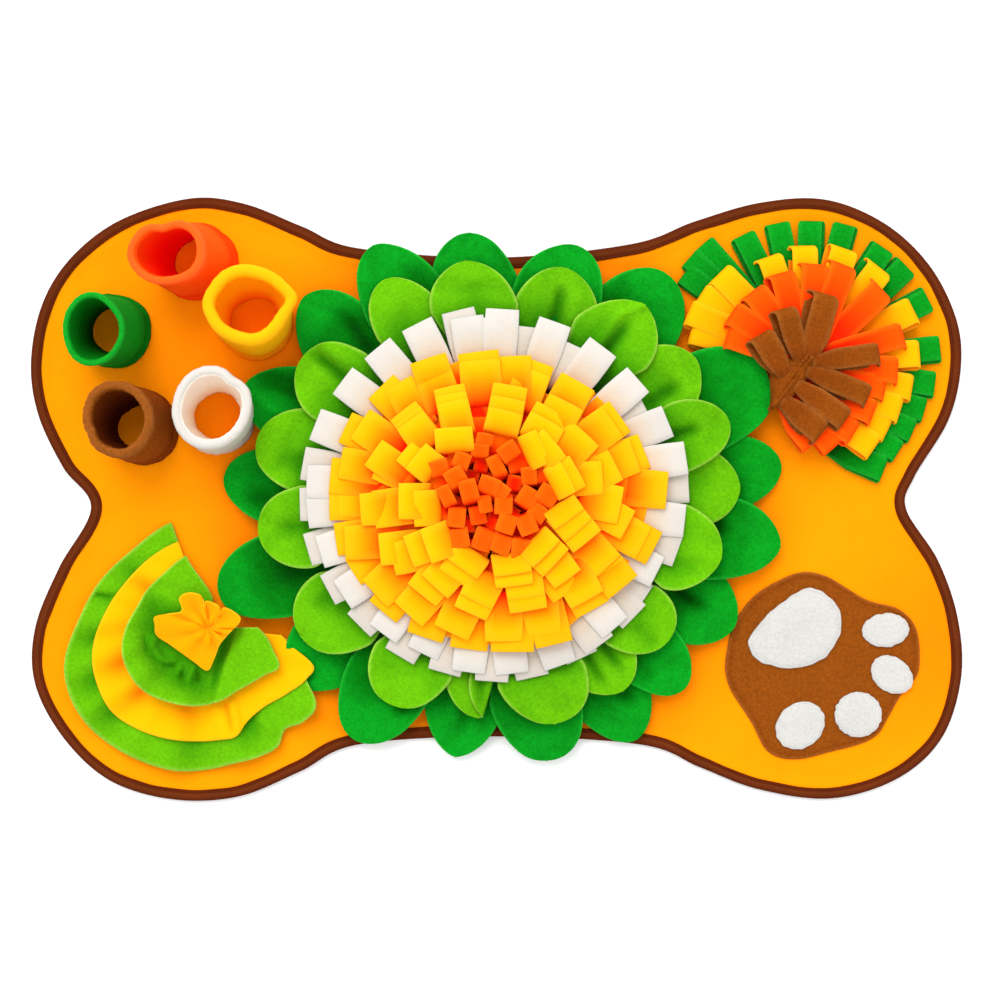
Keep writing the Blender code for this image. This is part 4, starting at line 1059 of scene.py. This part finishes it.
def build_cup(name, base, lean, radius, rim, roll, dents, finish, slot, most, inner_painted_light, fuzz, seed):
    """The wall's section, up the outside, over the rolled rim and down the inside, carried round
    an oval that changes from the base to the rim."""
    turn = np.linspace(0, 2 * math.pi, CUP_POINTS, endpoint=False)[None]
    wall = CUP_WALL
    height = CUP_HEIGHT - SEWN_ON
    top = height - roll / 2
    up = np.linspace(0, 1, 20)
    outside = np.stack([up * (top - 0.003), 0 * up], axis=-1)
    groove = 0.0034 * hump(outside[:, 0] - 0.009, 0.0026) - 0.0012 * hump(outside[:, 0] - 0.003, 0.005)
    outside[:, 1] = groove
    over = np.linspace(0, 1, 13) * math.pi
    rolled = np.stack([top + roll / 2 * np.sin(over), roll / 2 * (1 - np.cos(over))], axis=-1)
    down = np.linspace(0, 1, 18)
    inside = np.stack([top - roll * 0.35 - down * (top - roll * 0.35), wall + 0.011 * ease(down)], axis=-1)
    inside[0, 1] = roll * 0.92
    inside[1, 1] = wall + (roll - wall) * 0.35
    section = np.concatenate([outside, rolled, inside])
    section[: len(up) + 13, 1] -= 0.0010 * hump(section[: len(up) + 13, 0] - top, 0.012)
    z, step = section[:, :1], section[:, 1:2]
    share = np.clip(z / height, 0, 1)
    swell = ease(share / 0.9)
    around_x, around_y = 0.035 * np.cos(turn), 0.035 * np.sin(turn)
    bulge = 0.0012 * ripple(around_x, around_y + share * 0.03, 0.06, seed)
    bulge = bulge + 0.0004 * ripple(around_x, around_y + share * 0.05, 0.022, seed + 1) * (1 - share)
    bulge = bulge + fuzz * ripple(around_x + share * 0.05, around_y - share * 0.04, 0.0065, seed + 3)
    dent = 0.0
    for at, depth, half in dents:
        apart = (np.degrees(turn) - at + 180) % 360 - 180
        dent = dent - depth * hump(apart, half) * share**2
    half_x = radius + (rim[0] - radius) * swell - step + bulge + dent
    half_y = radius + (rim[1] - radius) * swell - step + bulge + dent
    x = base[0] + lean[0] * share + half_x * np.cos(turn)
    y = base[1] + lean[1] * share + half_y * np.sin(turn)
    sag = 0.0014 * ripple(around_x, around_y, 0.10, seed + 2) - 0.0012
    level = SEWN_ON + z + sag * share**3
    surface = np.stack([x, y, level], axis=-1)
    inner = np.zeros(len(section))
    inner[len(up) + 10 :] = 1.0
    # Painted shade: inside, the colour deepens towards the floor by most, and the lower part of the wall is deeper
    # on both sides. Painted highlight: a paler band along the outside of the rolled rim. Painted light: the tone
    # lightens the inner wall.
    deep = inner[:, None] * most * ease((1.02 - share) * 1.4) + 0.4 * ease((0.40 - share) * 3) + 0 * turn
    edge = 0.55 * hump(z - height + roll * 0.4, roll * 0.5) * (inner[:, None] < 0.5) + 0 * turn
    values = {"depth": np.clip(deep, 0, 1), "tone": inner_painted_light * inner[:, None] + 0 * deep, "edge": edge}
    mesh = closed_mesh(name + "_cloth", surface, values)
    piece(name + "_cloth", mesh, finish, [name])  # fmt: skip


# The ruffle and its bow ------------------------------------------------------------------------

# Turn in degrees and reach of each layer's edge: lower green, yellow, upper green.
RUFFLE_REACH = (
    ((110, 0.108), (135, 0.1055), (158, 0.115), (176, 0.1255), (197, 0.146), (208, 0.150), (219, 0.150),
     (231, 0.147), (243, 0.144), (256, 0.1415), (268, 0.137), (280, 0.1327), (292, 0.133), (301, 0.131),
     (306, 0.1225), (315, 0.128), (325, 0.126), (332, 0.106), (342, 0.096), (354, 0.070)),
    ((110, 0.088), (130, 0.088), (150, 0.091), (170, 0.100), (195, 0.1165), (208, 0.121), (221, 0.1235),
     (235, 0.119), (248, 0.1143), (262, 0.110), (275, 0.108), (285, 0.1066), (290, 0.0995), (303, 0.0926),
     (320, 0.098), (333, 0.106), (340, 0.107), (347, 0.083), (354, 0.070)),
    ((108, 0.0727), (130, 0.068), (150, 0.070), (164, 0.0722), (180, 0.080), (196, 0.087), (208, 0.0884),
     (223, 0.0874), (242, 0.0808), (259, 0.0764), (280, 0.0704), (294, 0.066), (307, 0.0665),
     (320, 0.070), (332, 0.0765), (340, 0.066), (347, 0.0595), (360, 0.047)),
)  # fmt: skip
# Turn and lift of the edge.
RUFFLE_LIFT = (
    (110, 0.003), (130, 0.008), (150, 0.003), (170, 0.008), (190, 0.003), (210, 0.007), (230, 0.003),
    (250, 0.009), (270, 0.004), (290, 0.010), (305, 0.010), (318, 0.018), (330, 0.024), (342, 0.028),
    (360, 0.028),
)  # fmt: skip
# Waves of each layer, which the layers above follow: turn, half width in degrees, height at the
# edge, radius where it starts.
RUFFLE_WAVES = (
    ((176, 7, 0.005, 0.05), (197, 6, 0.005, 0.05), (214, 6, 0.0045, 0.05), (236, 6, 0.005, 0.05),
     (256, 6, 0.004, 0.05), (282, 7, 0.004, 0.05), (147, 6, 0.003, 0.06)),
    ((192, 6, 0.003, 0.03), (217, 7, 0.003, 0.03), (249, 7, 0.0035, 0.03), (276, 4, 0.003, 0.05),
     (160, 6, 0.003, 0.03)),
    ((205, 34, 0.011, 0.040), (255, 24, 0.008, 0.045)),
)  # fmt: skip
# Pleats and folds of each layer, by place: ends, height, half width.
RUFFLE_PLEATS = (
    ((-0.394, -0.0920, -0.366, -0.0970, -0.0045, 0.003), (-0.232, -0.206, -0.212, -0.232, 0.0050, 0.005)),
    ((-0.2640, -0.188, -0.254, -0.232, -0.0022, 0.003), (-0.258, -0.188, -0.248, -0.230, 0.0030, 0.004)),
    ((-0.332, -0.130, -0.333, -0.150, 0.0045, 0.004), (-0.334, -0.145, -0.321, -0.160, 0.0045, 0.004),
     (-0.325, -0.158, -0.306, -0.157, 0.0040, 0.004), (-0.291, -0.158, -0.303, -0.185, 0.0060, 0.004),
     (-0.303, -0.160, -0.313, -0.174, 0.0040, 0.004), (-0.342, -0.128, -0.338, -0.155, -0.0045, 0.003),
     (-0.340, -0.149, -0.324, -0.164, -0.0045, 0.003), (-0.328, -0.162, -0.307, -0.162, -0.0045, 0.003),
     (-0.306, -0.164, -0.302, -0.188, -0.0045, 0.003), (-0.290, -0.164, -0.288, -0.182, -0.0045, 0.003),
     (-0.262, -0.130, -0.270, -0.162, -0.0010, 0.005)),
)  # fmt: skip
# Hollows between the gathers of the two lower layers, dipped a little and given painted shade: turn,
# half width in degrees, how deep.
RUFFLE_HOLLOWS = (
    ((143, 7, 0.40), (164, 5, 0.30), (185, 6, 0.40), (205, 6, 0.50), (221, 6, 0.45), (262, 9, 0.40),
     (293, 9, 0.60)),
    ((147, 6, 0.35), (201.7, 8, 0.45), (223, 5, 0.50), (254.7, 8, 0.35)),
)


RUFFLE_EYE = 0.012  # radius of the hole at the knot
RUFFLE_STEP = 0.0030  # between layers at the knot
RUFFLE_FULL = 0.154  # radius where the edge's full lift is reached


def build_ruffle():
    """Sheets gathered round the knot. Each point lies at a share of its layer's reach. The height
    is a lift that grows with the square of the distance, with waves that the next layer follows."""
    lifts = np.array(RUFFLE_LIFT)
    share = np.linspace(0, 1, RUFFLE_GRID[0])[:, None]
    layers = (
        ("ruffle_lower_cloth", "ruffle_lower_green", "light_green_fleece", LIGHT_GREEN),
        ("ruffle_yellow_cloth", "ruffle_yellow", "yellow_fleece", YELLOW),
        ("ruffle_upper_cloth", "ruffle_upper_green", "light_green_fleece", LIGHT_GREEN),
    )
    for layer, (name, node, slot, finish) in enumerate(layers):
        table = np.array(RUFFLE_REACH[layer])
        turn = np.linspace(table[0, 0], table[-1, 0], RUFFLE_GRID[1])[None]
        lift = flow(lifts[:, 0], lifts[:, 1], turn)
        reach = flow(table[:, 0], table[:, 1], turn)
        radius = RUFFLE_EYE + share * (reach - RUFFLE_EYE)
        bend = 24 * np.clip((0.075 - radius) / 0.046, 0, 1) ** 2 * (1 - ease((turn - 110) / 60))
        plan = KNOT + radius[..., None] * bearing(turn - bend)
        x, y = plan[..., 0], plan[..., 1]
        height = SEWN_ON + CLOTH / 2 + layer * RUFFLE_STEP + lift * (radius / RUFFLE_FULL) ** 2
        for waves in RUFFLE_WAVES[: layer + 1]:
            for at, half, rise, start in waves:
                height = height + rise * hump(turn - at, half) * ease((radius - start) / 0.05)
        # Painted shade towards the knot, where the layers are gathered.
        depth = 0.35 * (1 - ease(share / 0.5)) * np.ones_like(radius)
        for at, half, most in RUFFLE_HOLLOWS[layer] if layer < 2 else ():
            above = flow(*np.array(RUFFLE_REACH[layer + 1]).T, turn)
            # Painted shade in each hollow, which also dips a little.
            hollow = most * hump(turn - at, half) * hump(np.maximum(radius - above, 0), 0.020)
            depth = np.maximum(depth, hollow)
            height = height - 0.004 * hollow
        pleats = sum(crease(x, y, line) for line in RUFFLE_PLEATS[layer])
        height = height + pleats
        # Painted shade in the valleys of the pleats, taken off again on their ridges.
        depth = np.maximum(depth, np.clip(-pleats / 0.007, 0, 0.5)) * (1 - np.clip(pleats / 0.005, 0, 0.8))
        if layer == 2:
            bowl = ease((turn - 140) / 20) * (1 - ease((turn - 262) / 22))
            height = height + 0.009 * bowl * ease((radius - 0.050) / 0.032)
            past = x - 0.30 * y + 0.2165
            flap = ease(past / 0.003) * ease((turn - 245) / 12)
            height = height + 0.009 * flap * ease((radius - 0.016) / 0.02)
            # Painted shade on the inner side of the bowl and a painted shadow beside the flap's fold; none on the
            # raised flap.
            depth = np.maximum(depth, 0.50 * bowl * (1 - ease((radius - 0.056) / 0.024)))
            beside = hump(past + 0.004, 0.006) * ease((turn - 245) / 12) * ease((0.078 - radius) / 0.03)
            depth = np.maximum(depth, 0.62 * beside)
            depth = depth * (1 - flap)
        height = height + 0.0005 * (1 + ripple(x, y, 0.03, 70))
        middle = seen(np.concatenate([plan, height[..., None]], axis=-1))
        mesh = cloth_mesh(name, middle, depth=depth, tone=0.1)
        piece(name, mesh, finish, [node])


# The bow's outline round its knot, in millimetres.
BOW_EDGE = (
    (16.8, -7.1), (30, 8.8), (15, 19.4), (11, 13), (8.8, 21.2), (-2.7, 25.6), (-4.8, 20), (-7.9, 31),
    (-20.3, 33.5), (-28.3, 28.3), (-26, 16.2), (-40, 13.5), (-52.1, 10.6), (-52, 3), (-50.3, -7.1),
    (-38, -15.5), (-26, -23.9), (-14, -32.5), (-1.7, -40.6), (5, -29), (9.7, -15.9),
)  # fmt: skip


def build_bow():
    """A small sheet gathered at the knot: a pleated skirt to the lower left and three lobes."""
    outline = loop_through(BOW_EDGE, BOW_GRID[1]) / 1000
    turn = np.degrees(np.arctan2(outline[:, 1], outline[:, 0]))[None] % 360
    share = np.linspace(0.02, 1, BOW_GRID[0])[:, None]
    plan = KNOT + share[..., None] * outline
    skirt = ease((turn - 150) / 14) * (1 - ease((turn - 285) / 12))
    pleats = np.cos(np.radians(turn - 172) * 8) * skirt * 0.0011
    uneven = 1.3 * np.sin(np.radians(turn) * 3 + 1)
    lobes = np.cos(np.radians(turn - 15) * 7.5 + uneven) * (1 - skirt) * 0.0022
    height = SEWN_ON + 0.0060 + 0.0040 + CLOTH / 2 + 0.006 - 0.002 * skirt * share**2
    height = height + 0.004 * (1 - skirt) * share + (pleats + lobes) * ease(share / 0.5)
    height = height + 0.003 * hump(share - 0.28, 0.20) - 0.001 * hump(share, 0.10)
    height = height + 0.008 * ease((share * outline[None, :, 0] + 0.004) / 0.014)
    middle = seen(np.concatenate([plan, height[..., None]], axis=-1))
    # Painted shade at the knot, in the valleys of the skirt's pleats and between the lobes, over an even share of
    # the deep colour.
    depth = 0.06 * (1 - ease(share / 0.35))
    depth = depth + 0.20 * ease(-pleats / 0.0011) * ease(share * 3) * (1 - share) + 0.24
    depth = depth + 0.22 * ease(-lobes / 0.0022) * (1 - share) * ease(share * 4)
    mesh = cloth_mesh("bow_cloth", middle, wrap=True, depth=depth * np.ones_like(height))
    piece("bow_cloth", mesh, YELLOW, ["bow"])  # fmt: skip


# The paw ---------------------------------------------------------------------------------------

CUT_WOBBLE = 0.0004  # how far a cut edge strays from its line

PAW_EDGE = (
    (0.284, -0.075), (0.316, -0.075), (0.356, -0.098), (0.389, -0.108), (0.405, -0.128),
    (0.407, -0.165), (0.391, -0.188), (0.378, -0.210), (0.364, -0.230), (0.330, -0.242),
    (0.290, -0.251), (0.262, -0.243), (0.246, -0.214), (0.226, -0.181), (0.223, -0.148),
    (0.242, -0.103),
)  # fmt: skip
PAW_PAD_EDGE = (
    (0.302, -0.087), (0.325, -0.100), (0.332, -0.124), (0.317, -0.152), (0.286, -0.163),
    (0.254, -0.156), (0.244, -0.138), (0.259, -0.116), (0.279, -0.099),
)  # fmt: skip
TOE_PADS = (
    ((0.3755, -0.127), 0.0220, 0.0155, 5), ((0.3815, -0.170), 0.0210, 0.0160, -35),
    ((0.3490, -0.2085), 0.0220, 0.0210, 0), ((0.2930, -0.219), 0.0245, 0.0205, 40),
)  # fmt: skip


def flat_cut(name, outline, z, dome, finish, node, seed):
    """A flat cut piece: rows are its outline, which runs anticlockwise, drawn together to the
    middle. It is domed a little and pressed down where it is sewn, near the edge."""
    outline = np.asarray(outline)[:: 1 if spin(outline) > 0 else -1]
    place = np.arange(len(outline)) / len(outline)
    outline = outline + inwards(outline) * (CUT_WOBBLE * ripple(place, 0 * place, 0.06, seed))[:, None]
    centre = outline.mean(0)
    share = np.concatenate([[0.0], np.linspace(0.08, 0.9, 16), [0.93, 0.96, 0.985, 1.0]])[:, None]
    plan = centre + share[..., None] * (outline - centre)
    x, y = plan[..., 0], plan[..., 1]
    height = z + dome * (1 - share**6) * (1 + 0.25 * ripple(x, y, 0.05, seed + 1))
    height = height - 0.0003 * hump(share - 0.95, 0.02)
    middle = np.concatenate([plan, height[..., None]], axis=-1)
    # Painted shade: a deeper ring just inside the edge, where the seam presses the cloth down.
    mesh = cloth_mesh(name, middle, wrap=True, pole=True, depth=0.25 * hump(share - 0.955, 0.02) + 0 * height)
    piece(name, mesh, finish, [node])  # fmt: skip


def spin(loop):
    """Twice the signed area of a loop: positive where it runs anticlockwise."""
    loop = np.asarray(loop)
    after = np.roll(loop, -1, 0)
    return float((loop[:, 0] * after[:, 1] - loop[:, 1] * after[:, 0]).sum())


def build_paw():
    """The paw on the mat, and on it the palm pad and four oval toe pads, a little domed."""
    flat_cut("paw_cloth", loop_through(PAW_EDGE, 240), SEWN_ON + CLOTH / 2, 0.0, BROWN, "paw",
             80)  # fmt: skip
    z = SEWN_ON + CLOTH + GAP + CLOTH / 2
    flat_cut("palm_pad_cloth", loop_through(PAW_PAD_EDGE, 160), z, 0.0014, PAD, "paw_pad",
             81)  # fmt: skip
    for i, (centre, long, short, tilt) in enumerate(TOE_PADS):
        t = np.linspace(0, 360, 110, endpoint=False)
        oval = bearing(t) * (long, short)
        turned = oval[:, :1] * bearing(tilt) + oval[:, 1:] * bearing(tilt + 90)
        flat_cut(f"toe_pad_{i + 1}_cloth", np.array(centre) + turned, z, 0.0013, PAD, f"paw_toe_{i + 1}",
                 90 + i)  # fmt: skip


# The stage -------------------------------------------------------------------------------------

FLOOR_HALF = 6.0
FLOOR_LEVEL = -0.0004
FLOOR_PAINT = (0.93, 0.93, 0.93, 1.0)
ROOM_STRENGTH = 1.21
KEY_STRENGTH = 1.88
KEY_ANGLE = 0.70
KEY_TURN = (-40, -16)  # about X and then Y
SENSOR_WIDTH = 36.0
LENS = 55.73


def build_stage():
    """A pale floor, a soft key light from the far side and a little left, and the camera straight
    above."""
    mesh = bpy.data.meshes.new("floor")
    signs = ((-1, -1), (1, -1), (1, 1), (-1, 1))
    corners = [(x * FLOOR_HALF, y * FLOOR_HALF, FLOOR_LEVEL) for x, y in signs]
    mesh.from_pydata(corners, [], [(0, 1, 2, 3)])
    floor = bpy.data.objects.new("floor", mesh)
    bpy.context.scene.collection.objects.link(floor)
    paint = bpy.data.materials.new("pale_floor")
    paint.use_nodes = True
    shader = paint.node_tree.nodes["Principled BSDF"]
    shader.inputs["Base Color"].default_value = FLOOR_PAINT
    shader.inputs["Roughness"].default_value = 1.0
    shader.inputs["Specular IOR Level"].default_value = 0.0
    mesh.materials.append(paint)

    world = bpy.data.worlds.new("soft_room")
    bpy.context.scene.world = world
    world.use_nodes = True
    world.node_tree.nodes["Background"].inputs["Color"].default_value = (1.0, 1.0, 1.0, 1.0)
    world.node_tree.nodes["Background"].inputs["Strength"].default_value = ROOM_STRENGTH

    sun = bpy.data.lights.new("key", "SUN")
    sun.energy = KEY_STRENGTH
    sun.angle = KEY_ANGLE
    key = bpy.data.objects.new("key", sun)
    bpy.context.scene.collection.objects.link(key)
    key.rotation_euler = (math.radians(KEY_TURN[0]), math.radians(KEY_TURN[1]), 0.0)

    lens = bpy.data.cameras.new("camera")
    lens.sensor_width = SENSOR_WIDTH
    lens.lens = LENS
    lens.clip_start = 0.05
    lens.clip_end = 50.0
    camera = bpy.data.objects.new("camera", lens)
    bpy.context.scene.collection.objects.link(camera)
    camera.location = CAMERA
    bpy.context.scene.camera = camera
    bpy.context.scene.view_settings.view_transform = "Standard"


build_mat()
build_binding()
build_petals()
build_white()
build_yellow()
build_orange()
build_fan()
for number, cup in enumerate(CUPS):
    build_cup(*cup, seed=30 + 5 * number)
build_ruffle()
build_bow()
build_paw()
build_stage()
